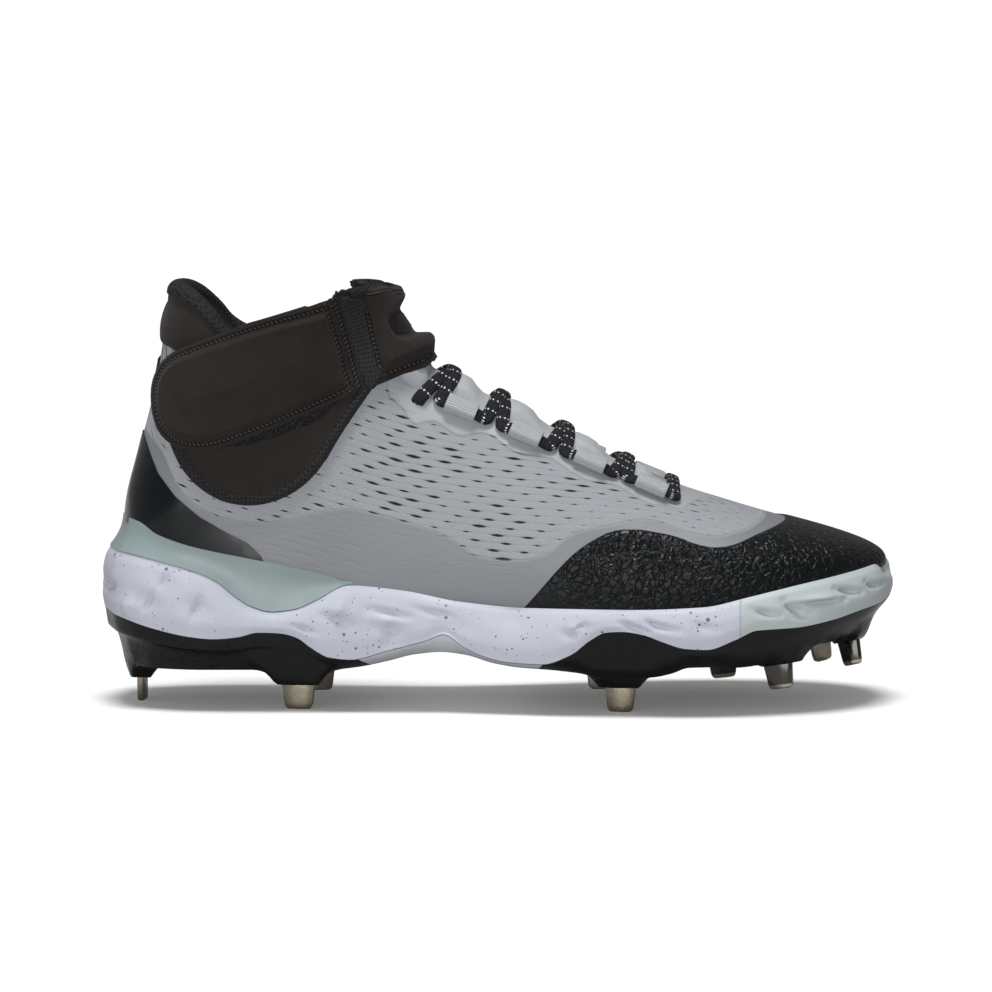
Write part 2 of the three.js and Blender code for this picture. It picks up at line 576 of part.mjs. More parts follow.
// An octagonal block that widens upwards
function studBoss(stud) {
  const corners = [[1, -1, 1, 0], [1, -1, 0, 1], [1, 1, 0, -1], [1, 1, -1, 0]];
  const points = BOSS_ROWS.flatMap(({ up, wider, deeper }) => {
    const halfX = (stud.width * STUD_WIDTH + wider) / 2;
    const halfY = (STUD_THICKNESS + deeper) / 2;
    const chamfer = 2 * BOSS_CHAMFER_SHARE * Math.min(halfX, halfY);
    const half = [
      [halfX - chamfer, -halfY],
      [halfX, chamfer - halfY],
      [halfX, halfY - chamfer],
      [halfX - chamfer, halfY],
    ];
    const ring = [...half, ...half.map(([x, y]) => [-x, -y])];
    return ring.map(([x, y]) => new THREE.Vector3(x, y, STUD_FREE_LENGTH + up).applyMatrix4(studPlace(stud)));
  });
  const top = 16;
  const sides = [...ringWall(0, 8, 8), ...ringWall(8, top, 8)];
  return solidFrom(points, [...sides, ...ringFan(0, 8), ...turnedOver(ringFan(top, 8))]);
}

// The plates and their bosses are one body cut across the shoe. Studs stand in slots in the bosses.
function plates() {
  const gap = GAP / SHOE_LENGTH / 2;
  const cutLine = ({ foot, top }, side) => [
    [foot + side, -1],
    [foot + side, CUT_BENDS.foot],
    [top + side, CUT_BENDS.top],
    [top + side, 1],
  ];
  const regions = {
    heel_plate: [[-0.1, 1], [-0.1, -1], ...cutLine(HEEL_CUT, -gap)],
    arch_plate: [...cutLine(HEEL_CUT, gap).reverse(), ...cutLine(FRONT_CUT, -gap)],
    forefoot_plate: [...cutLine(FRONT_CUT, gap).reverse(), [1.1, -1], [1.1, 1]],
  };
  const room = abovePlates();
  let body = plateBody();
  for (const stud of STUDS) body = body.add(studBoss(stud).subtract(room));
  for (const stud of STUDS) body = body.subtract(studBlade(stud, GAP));
  const cut = ([name, outline]) => [name, body.intersect(sidePrism(places(outline)))];
  return Object.fromEntries(Object.entries(regions).map(cut));
}

// A slab through part of the last's skin, to cut with. Its rows lie at stops along u and reach as
// far to both sides of its middle.
function skinZone({ stops, reach, middle, depth }) {
  const columns = [-1, -0.5, 0, 0.5, 1];
  const points = [];
  for (const offset of [ZONE_RISE, -depth]) {
    for (const u of stops) {
      for (const share of columns) points.push(skinPoint(u, middle + share * reach(u), offset));
    }
  }
  return solidFrom(points, slabFaces(stops.length - 1, columns.length - 1));
}

const throatReach = (u) => along(THROAT, "reach", u);
const throatZone = (scale, room, shift = 0) =>
  skinZone({
    stops: THROAT.map((row) => row.x + shift),
    reach: (u) => scale * throatReach(u - shift) - room,
    middle: 0.5,
    depth: THROAT_DEPTH,
  });

// The room that the tongue takes, for clearing the collar round it
const tongueRoom = () =>
  skinZone({
    stops: COLLAR_ROOM.map((row) => row.x),
    reach: (u) => TONGUE_FLANGE * throatReach(u) + COLLAR_SIDE_ROOM,
    middle: 0.5,
    depth: THROAT_DEPTH,
  });

// A post up through the upper's floor, inside the sole's outline
function soleOpening() {
  const { from, to, inset, top, steps } = SOLE_OPENING;
  const run = (side, sign) =>
    Array.from({ length: steps + 1 }, (_, i) => {
      const x = from + ((to - from) * i) / steps;
      return new THREE.Vector2(xOf(x), sign * yOf(along(SOLE_OUTLINE, side, x) - inset));
    });
  const shape = new THREE.Shape([...run("lat", -1), ...run("med", 1).reverse()]);
  return solidOf(new THREE.ExtrudeGeometry(shape, { depth: zOf(top), bevelEnabled: false }));
}

function upper() {
  return layer(-UPPER_WALL, 0).intersect(below(UPPER_TOP)).subtract(throatZone(1, 0)).subtract(soleOpening());
}

// The collar lining lies inside the upper and fills out to the skin above the upper's edge
function collarLining() {
  const outside = -UPPER_WALL - GAP;
  const inside = outside - LINING_WALL;
  return layer(inside, outside)
    .add(layer(inside, 0).intersect(above(UPPER_TOP, GAP)))
    .intersect(above(LINING_FOOT))
    .intersect(below(LINING_TOP, COLLAR_BINDING_WIDTH + GAP))
    .subtract(tongueRoom());
}

function collarBinding() {
  const inside = -UPPER_WALL - GAP - LINING_WALL - COLLAR_BINDING_RISE;
  return layer(inside, COLLAR_BINDING_RISE)
    .intersect(below(LINING_TOP))
    .subtract(below(LINING_TOP, COLLAR_BINDING_WIDTH))
    .subtract(tongueRoom());
}

// The front of the ankle, where the tongue panel lies
function tonguePanelZone(grow) {
  return sidePrism(places(TONGUE_PANEL).map((p) => p.subScalar(grow)));
}

// Half moon panels over the ankle, one each side, with a binding along the lower edge
function anklePanel(side) {
  const edge = movedLeft(curveThrough(PANEL_EDGE), PANEL_BINDING_WIDTH + GAP);
  const outline = [...edge, ...curveThrough(PANEL_TOP).slice(1, -1)];
  return layer(GAP, GAP + PANEL_THICKNESS)
    .intersect(halfPrism(outline, side, 2))
    .subtract(tonguePanelZone(GAP));
}

function panelBinding(side) {
  const edge = curveThrough(PANEL_EDGE);
  const outline = [...edge, ...movedLeft(edge, PANEL_BINDING_WIDTH).reverse()];
  return layer(GAP, GAP + PANEL_THICKNESS + PANEL_BINDING_RISE)
    .intersect(halfPrism(outline, side, 2))
    .subtract(tonguePanelZone(GAP));
}

// The strap lies over the outer panel: a flat stitched rim with a padded body
const STRAP_SEAT = GAP + PANEL_THICKNESS + PANEL_BINDING_RISE + GAP;
function strap() {
  const edge = closedCurve(STRAP);
  const [back, front] = [STRAP_CORE.back, STRAP_CORE.front].map(([x, z]) => flat(place(x, z)));
  const core = new THREE.Line3(back, front);
  const pad = edge.map((p) => {
    const pull = core.closestPointToPoint(flat(p), true, new THREE.Vector3()).sub(flat(p));
    return new THREE.Vector2().addVectors(p, pull.setLength(STRAP_RIM_WIDTH));
  });
  const piece = (outline, thickness) =>
    layer(STRAP_SEAT, STRAP_SEAT + thickness).intersect(halfPrism(outline, -1, STRAP_END_Y));
  return piece(edge, STRAP_RIM_THICKNESS).add(piece(pad, STRAP_THICKNESS));
}

// Elastic link from the strap's front seam to the tongue panel
function strapLink() {
  return layer(STRAP_SEAT, STRAP_SEAT + STRAP_RIM_THICKNESS)
    .intersect(halfPrism(places(STRAP_LINK), -1, STRAP_END_Y))
    .subtract(tonguePanelZone(GAP));
}

// The tongue panel wraps the front of the ankle. Its raised pad is a frame round a plain label, so
// the pad's outline is open to the front in the side view.
const PANEL_SKIN = GAP + TONGUE_PANEL_THICKNESS;
function tonguePanel() {
  const pad = layer(GAP, PANEL_SKIN + TONGUE_PAD_HEIGHT).intersect(sidePrism(closedCurve(TONGUE_PAD)));
  return layer(GAP, PANEL_SKIN).add(pad).intersect(tonguePanelZone(0)).intersect(below(TONGUE_PANEL_TOP));
}

function tongueLabel() {
  const outline = sidePrism(places(LABEL), -LABEL_WIDTH / 2, LABEL_WIDTH / 2);
  return layer(PANEL_SKIN + GAP, PANEL_SKIN + GAP + LABEL_THICKNESS).intersect(outline);
}

// The tongue fills the throat, with a flange on each side that runs under the upper's edge
function tongue() {
  const outside = -UPPER_WALL - GAP;
  const inside = outside - TONGUE_THICKNESS;
  const flange = layer(inside, outside).intersect(throatZone(TONGUE_FLANGE, 0, -TONGUE_TOE_LAP));
  const raised = layer(inside, -GAP).intersect(throatZone(1, TONGUE_SIDE_ROOM, TONGUE_TOE_ROOM));
  return flange.add(raised).intersect(below(TONGUE_TOP));
}

function insole() {
  const top = -UPPER_WALL - GAP;
  const reach = () => INSOLE_REACH;
  const zone = skinZone({ stops: INSOLE_STOPS, reach, middle: 0, depth: INSOLE_ZONE_DEPTH });
  return layer(top - INSOLE_THICKNESS, top).intersect(zone);
}

// Toe cap and heel counter are thin overlays on the upper's skin
function toeCap() {
  const outline = [place(CAP_EDGE[0][0], 0), ...curveThrough(CAP_EDGE), place(1.1, 0.5), place(1.1, 0)];
  return layer(GAP, GAP + TOE_CAP_THICKNESS)
    .intersect(sidePrism(outline))
    .intersect(aboveLevel(midsoleSide.at(-1)));
}

function heelCounter() {
  const outline = [place(-0.05, 0.665), ...curveThrough(COUNTER_EDGE), place(0.24, 0.2), place(-0.05, 0.2)];
  return layer(GAP, GAP + COUNTER_THICKNESS).intersect(sidePrism(outline)).intersect(aboveLevel(clipEdge));
}

function heelPull() {
  const outline = sidePrism(places(HEEL_PULL), -HEEL_PULL_WIDTH / 2, HEEL_PULL_WIDTH / 2);
  return layer(GAP, GAP + HEEL_PULL_RISE).intersect(outline);
}

// A flat tube of webbing that stands on the upper, with its bore along the throat
function laceLoop({ u, turn }, side) {
  const slot = (width, height) => {
    const half = (width - height) / 2;
    const shape = new THREE.Shape();
    shape.absarc(half, 0, height / 2, -Math.PI / 2, Math.PI / 2, false);
    shape.absarc(-half, 0, height / 2, Math.PI / 2, 1.5 * Math.PI, false);
    return shape;
  };
  const [boreWidth, boreHeight] = [LACE_WIDTH + 2 * GAP, LACE_THICKNESS + 2 * GAP];
  const height = boreHeight + 2 * LOOP_WALL;
  const shape = slot(boreWidth + 2 * LOOP_WALL, height);
  shape.holes.push(slot(boreWidth, boreHeight));
  const options = { depth: LOOP_LENGTH, bevelEnabled: false, curveSegments: 2 };
  const geometry = new THREE.ExtrudeGeometry(shape, options);
  geometry.translate(0, 0, -LOOP_LENGTH / 2);
  geometry.rotateY(Math.PI / 2);
  geometry.rotateX(Math.PI / 2);
  const from = 0.5 + side * turn;
  const out = lastNormal(u, from);
  const run = lastPoint(u - 0.1, from).sub(lastPoint(u + 0.1, from)).normalize();
  const across = out.clone().cross(run).normalize();
  const frame = new THREE.Matrix4().makeBasis(run, across, out);
  geometry.applyMatrix4(frame.setPosition(skinPoint(u, from, GAP + LOOP_LIFT + height / 2)));
  return solidOf(geometry);
}

// A flat cord with an oval section between two places, lying over the last's skin. It bows along
// the shoe by a share of a section, and arches in the middle of its run.
function laceRun(from, to, bow = 0) {
  const spotAt = (t) => {
    const u = from.u + (to.u - from.u) * t + bow * 4 * t * (1 - t);
    const turn = from.turn + (to.turn - from.turn) * t;
    const lift = LACE_THICKNESS / 2 + LACE_CLEARANCE + LACE_ARCH * Math.sin(Math.PI * t);
    return { point: skinPoint(u, turn, lift), out: lastNormal(u, turn) };
  };
  const ring = (t) => {
    const { point, out } = spotAt(t);
    const ahead = spotAt(t + 0.02).point.sub(spotAt(t - 0.02).point).normalize();
    const wide = out.clone().cross(ahead).normalize();
    const thick = ahead.clone().cross(wide);
    return Array.from({ length: LACE_SIDES }, (_, k) => {
      const angle = (2 * Math.PI * k) / LACE_SIDES;
      const over = (LACE_WIDTH / 2) * Math.cos(angle);
      const up = (LACE_THICKNESS / 2) * Math.sin(angle);
      return point.clone().addScaledVector(wide, over).addScaledVector(thick, up);
    });
  };
  const points = [];
  const faces = [];
  for (let i = 0; i <= LACE_STEPS; i += 1) {
    points.push(...ring(i / LACE_STEPS));
    if (i > 0) faces.push(...ringWall((i - 1) * LACE_SIDES, i * LACE_SIDES, LACE_SIDES));
  }
  const end = LACE_STEPS * LACE_SIDES;
  return solidFrom(points, [...faces, ...ringFan(0, LACE_SIDES), ...turnedOver(ringFan(end, LACE_SIDES))]);
}

// The mouth of a loop on one side of the throat, with room before the lace's end
function loopMouth(loop, side, towardsAnkle) {
  const turn = 0.5 + side * loop.turn;
  const step = 0.2;
  const perRow = lastPoint(loop.u + step, turn).distanceTo(lastPoint(loop.u - step, turn)) / (2 * step);
  const reach = (LOOP_LENGTH / 2 + LACE_WIDTH / 2 + LOOP_MOUTH_ROOM) / perRow;
  return { u: loop.u + (towardsAnkle ? reach : -reach), turn };
}
const eyelet = (side) => ({ u: EYELET.u, turn: 0.5 + side * EYELET.turn });

// Two runs that cross on the tongue, from both back ends to the loops in front of them
function laceCrossing(backEnd, front, bow) {
  const run = (side) => laceRun(backEnd(side), loopMouth(front, -side, true), bow);
  return run(-1).add(run(1));
}

const LOOKS = {
  knit: { color: 0xa9adb0, roughness: 0.85, metalness: 0 },
  blackFilm: { color: 0x16191b, roughness: 0.35, metalness: 0 },
  neoprene: { color: 0x2d2a29, roughness: 0.8, metalness: 0 },
  binding: { color: 0x262626, roughness: 0.9, metalness: 0 },
  clip: { color: 0xa8b4b2, roughness: 0.4, metalness: 0 },
  foam: { color: 0xd5d6df, roughness: 0.6, metalness: 0 },
  plate: { color: 0x141516, roughness: 0.4, metalness: 0 },
  arch: { color: 0xa9b0ae, roughness: 0.4, metalness: 0 },
  stud: { color: 0xb9ae98, roughness: 0.3, metalness: 0.9 },
  lace: { color: 0x17181a, roughness: 0.85, metalness: 0 },
  webbing: { color: 0xb9bdc0, roughness: 0.8, metalness: 0 },
  insole: { color: 0x3a3b3d, roughness: 0.9, metalness: 0 },
};

const cleat = new THREE.Group();
function addPiece(name, look, solid) {
  const { vertProperties, triVerts } = solid.getMesh();
  const geometry = new THREE.BufferGeometry();
  geometry.setAttribute("position", new THREE.Float32BufferAttribute(vertProperties, 3));
  geometry.setIndex(new THREE.Uint32BufferAttribute(triVerts, 1));
  geometry.computeVertexNormals();
  const mesh = new THREE.Mesh(geometry, new THREE.MeshStandardMaterial(LOOKS[look]));
  mesh.name = name;
  cleat.add(mesh);
}

// Sole
addPiece("midsole", "foam", midsole());
addPiece("heel_clip", "clip", heelClip());
const plateLooks = { heel_plate: "plate", arch_plate: "arch", forefoot_plate: "plate" };
for (const [name, solid] of Object.entries(plates())) addPiece(name, plateLooks[name], solid);
for (const stud of STUDS) addPiece(`stud_${stud.name}`, "stud", studBlade(stud));

// Upper
addPiece("upper", "knit", upper());
addPiece("insole", "insole", insole());
addPiece("toe_cap", "blackFilm", toeCap());
addPiece("heel_counter", "blackFilm", heelCounter());
addPiece("heel_pull", "binding", heelPull());

// Ankle
addPiece("collar_lining", "neoprene", collarLining());
addPiece("collar_binding", "binding", collarBinding());
for (const [side, word] of [[-1, "outer"], [1, "inner"]]) {
  addPiece(`ankle_panel_${word}`, "neoprene", anklePanel(side));
  addPiece(`panel_binding_${word}`, "binding", panelBinding(side));
}
addPiece("strap", "neoprene", strap());
addPiece("strap_link", "binding", strapLink());
addPiece("tongue", "knit", tongue());
addPiece("tongue_panel", "neoprene", tonguePanel());
addPiece("tongue_label", "blackFilm", tongueLabel());

// Lacing
LACE_LOOPS.forEach((loop, i) => {
  addPiece(`lace_loop_outer_${i + 1}`, "webbing", laceLoop(loop, -1));
  addPiece(`lace_loop_inner_${i + 1}`, "webbing", laceLoop(loop, 1));
});
LACE_LOOPS.forEach((front, i) => {
  const back = LACE_LOOPS[i - 1];
  const backEnd = back ? (side) => loopMouth(back, side, false) : eyelet;
  addPiece(`lace_crossing_${i + 1}`, "lace", laceCrossing(backEnd, front, back ? 0 : TOP_CROSSING_BOW));
});
const lastLoop = LACE_LOOPS.at(-1);
addPiece("lace_bar", "lace", laceRun(loopMouth(lastLoop, -1, false), loopMouth(lastLoop, 1, false)));

// The origin is under the middle of the shoe, on the plane of the stud tips
const box = new THREE.Box3().setFromObject(cleat);
const middle = box.getCenter(new THREE.Vector3());
cleat.position.set(-middle.x, -middle.y, -box.min.z);

export default cleat;
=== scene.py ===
import math

import bmesh
import bpy
import numpy as np
from bpy.props import FloatProperty, FloatVectorProperty, PointerProperty
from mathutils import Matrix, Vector


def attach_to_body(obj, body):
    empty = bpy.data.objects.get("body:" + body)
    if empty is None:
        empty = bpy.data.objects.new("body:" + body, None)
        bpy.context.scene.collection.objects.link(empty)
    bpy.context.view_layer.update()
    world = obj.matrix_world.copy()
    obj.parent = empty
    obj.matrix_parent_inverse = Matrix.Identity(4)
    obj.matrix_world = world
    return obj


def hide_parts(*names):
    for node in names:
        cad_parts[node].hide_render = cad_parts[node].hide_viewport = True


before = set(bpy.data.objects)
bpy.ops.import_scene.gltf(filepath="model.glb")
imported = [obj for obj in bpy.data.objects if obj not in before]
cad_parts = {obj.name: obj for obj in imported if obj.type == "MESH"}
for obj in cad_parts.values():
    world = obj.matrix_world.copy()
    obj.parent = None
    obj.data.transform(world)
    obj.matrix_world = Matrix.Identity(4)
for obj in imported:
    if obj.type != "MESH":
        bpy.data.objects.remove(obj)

bl_info = {
    "name": "Baseball cleat",
    "version": (1, 0, 0),
    "blender": (4, 5, 0),
    "location": "View3D > Sidebar > Cleat",
    "description": "Dresses the solids of a mid cut baseball cleat for the right foot",
    "category": "Add Mesh",
}

MM = 0.001

# The shoe's sizes in metres
SHOE_LENGTH = 0.300
BODY_HEIGHT = 0.149
BALL_WIDTH = 0.103
STUD_FREE_LENGTH = 9.3 * MM
UPPER_WALL = 2.2 * MM
LINING_WALL = 4 * MM
GAP = 0.3 * MM
PANEL_THICKNESS = 1.8 * MM
PANEL_BINDING_WIDTH = 3.4 * MM
PANEL_BINDING_RISE = 0.5 * MM
COLLAR_BINDING_WIDTH = 4.6 * MM
COLLAR_BINDING_RISE = 0.6 * MM
STRAP_RIM_THICKNESS = 1.6 * MM
STRAP_END_Y = 7 * MM
HEEL_PULL_WIDTH = 12 * MM
HEEL_PULL_RISE = 2.6 * MM
TONGUE_THICKNESS = 3 * MM
TONGUE_PANEL_THICKNESS = 3.4 * MM
LABEL_WIDTH = 24 * MM
INSOLE_THICKNESS = 3.5 * MM
STUD_WIDTH = 13 * MM
STUD_THICKNESS = 3 * MM
LACE_WIDTH = 5.2 * MM
LACE_THICKNESS = 2.4 * MM
LACE_CLEARANCE = 0.5 * MM
LACE_ARCH = 0.4 * MM
LOOP_LENGTH = 12 * MM
LOOP_WALL = 0.9 * MM
LOOP_MOUTH_ROOM = 1.2 * MM
LOOP_LIFT = 0.25 * MM

# Steps of the knit, the stitches, the tapes and the lace's flecks. The knit's are in mm.
KNIT_SLOPE = 0.26
KNIT_ROW = 2.8
KNIT_SLOT_PITCH = 11.6
KNIT_SLOT_HALF = 2.7
KNIT_SLOT_RISE = 0.56
KNIT_STITCH_WIDTH = 0.95
KNIT_STITCH_HEIGHT = 0.8
STITCH_PITCH = 1.7 * MM
STITCH_INSET = 2.3 * MM
STRAP_BAND = 5.4 * MM
PANEL_TOP_DROP = 2.2 * MM
TAPE_PITCH = 2.9 * MM
BRAID_PITCH = 1.5 * MM
BRAID_STRANDS = 9
FLECK_PITCH = 6 * MM
FRONT_FOAM_X = 89.5 * MM

# Places on the last are given by u, the row of its table, and by a turn: 0 under the foot, 0.25 at
# the outer side and 0.5 on top. These turn shares and rows into metres, about the throat and the
# ankle.
GIRTH = 0.27
PER_ROW = 20 * MM

# How finely the sole, the lace and its loops are divided, and how the sole's stations crowd
STATIONS = 240
STATION_CROWDING = 0.105
SPINE_START = 0.06
SPINE_SHARE = 0.88
LACE_SIDES = 28
LOOP_SIDES = 96

# The height over which the cuts between the plates lean, as shares of the body's height, and how
# softly the bosses round the studs grow out of the plates
CUT_HEIGHTS = [0.04, 0.1]
BOSS_SOFTNESS = 1.2 * MM
STUD_ROOT = 12 * MM

# The studio. Each sun has its heading and tilt in degrees, its strength and its spread.
FLOOR_SIZE = 6
SKY_SEEN = 1.02
SKY_LIGHT = 0.2
SUNS = [["top", -6, 6, 0.8, 22], ["front", -14, 78, 0.62, 50]]
CAMERA_RISE = 5.8
CAMERA_X = -0.7 * MM
CAMERA_Z = 77.3 * MM
CAMERA_DISTANCE = 2.18
CAMERA_LENS = 210

# The shoe's tables. Their x is a share of the shoe's length, z a share of its body's height above
# the studs' free length, and y, widths and insets are shares of the ball's width.

# Sections of the last, from the toe to the ankle: x and z at the sole, x and z at the top, the
# middle's y, the outer and the inner half width, the height of the widest place as a share, and
# the squareness below and above it
LAST = [
    [0.988, 0.287, 0.988, 0.287, 0.05, 0.005, 0.005, 0.5, 2.2, 2.2],
    [0.98, 0.256, 0.983, 0.31, 0.05, 0.12, 0.12, 0.5, 2.4, 2.3],
    [0.963, 0.243, 0.968, 0.33, 0.05, 0.21, 0.205, 0.42, 3, 2.3],
    [0.937, 0.23, 0.943, 0.35, 0.05, 0.305, 0.29, 0.38, 3.4, 2.3],
    [0.9, 0.213, 0.905, 0.374, 0.045, 0.39, 0.355, 0.36, 3.8, 2.3],
    [0.847, 0.189, 0.852, 0.404, 0.04, 0.465, 0.4, 0.35, 4, 2.2],
    [0.783, 0.159, 0.787, 0.444, 0.03, 0.505, 0.43, 0.34, 4, 2.1],
    [0.713, 0.138, 0.713, 0.495, 0.02, 0.51, 0.43, 0.32, 4, 1.98],
    [0.643, 0.129, 0.637, 0.572, 0.01, 0.485, 0.405, 0.29, 4, 1.85],
    [0.567, 0.132, 0.553, 0.659, 0, 0.44, 0.355, 0.26, 4, 1.76],
    [0.483, 0.142, 0.48, 0.733, 0, 0.395, 0.31, 0.24, 4, 1.72],
    [0.393, 0.152, 0.423, 0.79, 0, 0.36, 0.295, 0.23, 4, 1.76],
    [0.3, 0.158, 0.397, 0.834, 0, 0.34, 0.31, 0.23, 4, 1.88],
    [0.2, 0.159, 0.382, 0.874, 0, 0.335, 0.33, 0.24, 4, 2.05],
    [0.117, 0.162, 0.372, 0.904, 0, 0.32, 0.32, 0.28, 3.2, 2.15],
    [0.057, 0.206, 0.365, 0.928, 0, 0.31, 0.31, 0.33, 2.6, 2.2],
    [0.033, 0.307, 0.36, 0.944, 0, 0.31, 0.31, 0.36, 2.3, 2.2],
    [0.034, 0.441, 0.356, 0.961, 0, 0.305, 0.305, 0.38, 2.1, 2.25],
    [0.05, 0.575, 0.352, 0.978, 0, 0.3, 0.3, 0.4, 2.1, 2.3],
    [0.067, 0.709, 0.348, 0.995, 0, 0.305, 0.305, 0.43, 2.1, 2.3],
    [0.08, 0.844, 0.343, 1.011, 0, 0.32, 0.32, 0.46, 2.1, 2.3],
    [0.087, 0.958, 0.34, 1.028, 0, 0.335, 0.335, 0.5, 2.1, 2.3],
    [0.09, 1.092, 0.338, 1.092, 0, 0.34, 0.34, 0.5, 2.1, 2.3],
]

# The sole's outline from above: x, and y at the outer and the inner side
SOLE_OUTLINE = [
    [0, 0, 0], [0.02, 0.2, 0.2], [0.06, 0.315, 0.315], [0.127, 0.38, 0.375],
    [0.207, 0.39, 0.383], [0.3, 0.388, 0.36], [0.393, 0.4, 0.34], [0.483, 0.435, 0.355],
    [0.567, 0.485, 0.4], [0.643, 0.52, 0.455], [0.717, 0.535, 0.495], [0.787, 0.523, 0.505],
    [0.853, 0.475, 0.485], [0.907, 0.4, 0.44], [0.95, 0.295, 0.365], [0.98, 0.17, 0.265],
    [1, -0.05, 0.05],
]

# The sole from the side, each line as x and z: the foam's top, its joint with the plates, and the
# plates' underside
SOLE_RIM = [
    [0, 0.331], [0.04, 0.324], [0.083, 0.308], [0.125, 0.287], [0.151, 0.264], [0.175, 0.226],
    [0.195, 0.202], [0.22, 0.189], [0.247, 0.195], [0.275, 0.218], [0.316, 0.256], [0.382, 0.244],
    [0.452, 0.218], [0.533, 0.206], [0.653, 0.206], [0.753, 0.213], [0.812, 0.237], [0.88, 0.264],
    [0.983, 0.295], [1, 0.3],
]
SOLE_JOINT = [
    [0, 0.178], [0.03, 0.165], [0.073, 0.144], [0.117, 0.128], [0.147, 0.123], [0.177, 0.128],
    [0.203, 0.14], [0.23, 0.138], [0.25, 0.128], [0.27, 0.1], [0.29, 0.078], [0.317, 0.072],
    [0.363, 0.095], [0.393, 0.111], [0.413, 0.123], [0.432, 0.138], [0.459, 0.105], [0.487, 0.081],
    [0.513, 0.071], [0.553, 0.068], [0.59, 0.094], [0.612, 0.129], [0.633, 0.151], [0.653, 0.153],
    [0.678, 0.146], [0.703, 0.128], [0.73, 0.112], [0.757, 0.109], [0.793, 0.133], [0.82, 0.155],
    [0.873, 0.159], [0.915, 0.171], [0.959, 0.19], [1, 0.202],
]
SOLE_GROUND = [
    [0, 0.038], [0.04, 0.036], [0.117, 0.037], [0.2, 0.038], [0.25, 0.035], [0.293, 0.038],
    [0.327, 0.046], [0.363, 0.062], [0.393, 0.078], [0.427, 0.085], [0.457, 0.078], [0.487, 0.06],
    [0.52, 0.05], [0.56, 0.046], [0.6, 0.039], [0.64, 0.033], [0.687, 0.032], [0.713, 0.041],
    [0.737, 0.056], [0.767, 0.057], [0.8, 0.055], [0.833, 0.06], [0.863, 0.072], [0.883, 0.096],
    [0.917, 0.103], [0.957, 0.109], [1, 0.146],
]

# Walls of the foam and the plates: share of the way up, and inset. The heel has the ledge.
MIDSOLE_SIDE = [[0, 0.01], [0.3, 0], [0.55, 0.002], [0.86, 0.016], [1, 0.034]]
PLATE_LEDGE = [[0, 0.1], [0.28, 0.082], [0.6, 0.05], [0.66, 0.024], [1, 0.012]]
PLATE_SWEEP = [[0, 0.1], [0.2, 0.075], [0.45, 0.05], [0.75, 0.026], [1, 0.012]]

# The heel clip's top edge: x, z and inset
CLIP_EDGE = [
    [0, 0.411, 0.084], [0.033, 0.403, 0.076], [0.067, 0.375, 0.06],
    [0.12, 0.348, 0.046], [0.2, 0.317, 0.04], [0.267, 0.289, 0.038],
    [0.31, 0.264, 0.036],
]

# Studs: name, x, y, share of the stud's width, turn and lean in degrees
STUDS = [
    ["heel_rear", 0.052, 0, 1.15, 88, 0],
    ["heel_outer", 0.252, -0.26, 1, -8, 0],
    ["heel_inner", 0.272, 0.25, 1, 12, 0],
    ["ball_outer", 0.652, -0.34, 0.92, -10, 0],
    ["ball_inner", 0.632, 0.28, 0.92, 12, 0],
    ["front_outer", 0.852, -0.335, 0.88, -16, 9],
    ["front_inner", 0.79, 0.36, 0.92, 10, 5],
    ["toe_outer", 0.945, -0.12, 0.73, -38, 14],
    ["toe_inner", 0.915, 0.25, 0.73, 30, 12],
]
POLISHED_STUDS = ["front_outer", "front_inner", "toe_outer"]

# A stud's section, in halves of its width and thickness, with a prow on its outer face, and its
# shape from the foot up: height in mm, and shares of the width and of the thickness
STUD_SECTION = [[-1, -0.6], [0.25, -1.25], [1, -0.6], [1, 0.9], [0.25, 1], [-1, 0.9]]
STUD_SHAPE = [
    [0, 0.52, 0.1], [0, 0.56, 0.7], [0.3, 0.68, 0.92], [1, 0.76, 1], [2.2, 0.81, 1], [12, 1, 1.05],
]

# The boss round a stud: distance out from the stud's foot and rise above its tip, in mm
BOSS_RISE = [[0, 0], [1.2, 1.8], [4, 5], [8, 7.6], [16, 16]]

# The line of the studs' tips: x and z
ROCKER = [
    [0, 0], [0.66, 0], [0.79, 0.022], [0.852, 0.058], [0.915, 0.077], [0.945, 0.098],
]

# The open throat and the smooth film beside it: u, and the turn from the top at their border
THROAT = [
    [7.05, 0.02], [7.2, 0.045], [7.6, 0.058], [9, 0.064], [10.5, 0.072],
    [11.6, 0.085], [13.5, 0.085], [16, 0.085], [19.8, 0.085],
]
EYESTAY_REACH = [
    [6.2, 0], [6.8, 0.1], [7.3, 0.104], [8.5, 0.106], [10, 0.107], [11, 0.117], [12, 0.12], [13, 0.09],
]

# Lace loops, from the ankle to the toe, and the top eyelet: u, and the turn from the top
LACE_LOOPS = [[10.41, 0.087], [9.28, 0.087], [8.31, 0.086], [7.34, 0.083]]
EYELET = [11.42, 0.097]

# Where the lace lies across the tongue, as u, and how far each crossing bows along the last
LACE_PLACES = [10.95, 9.85, 8.8, 7.83, 6.98]
CROSSING_BOW = -0.16
TOP_CROSSING_BOW = -0.55

# How far the collar reaches round the ankle, as a turn from its back
COLLAR_REACH = 0.343

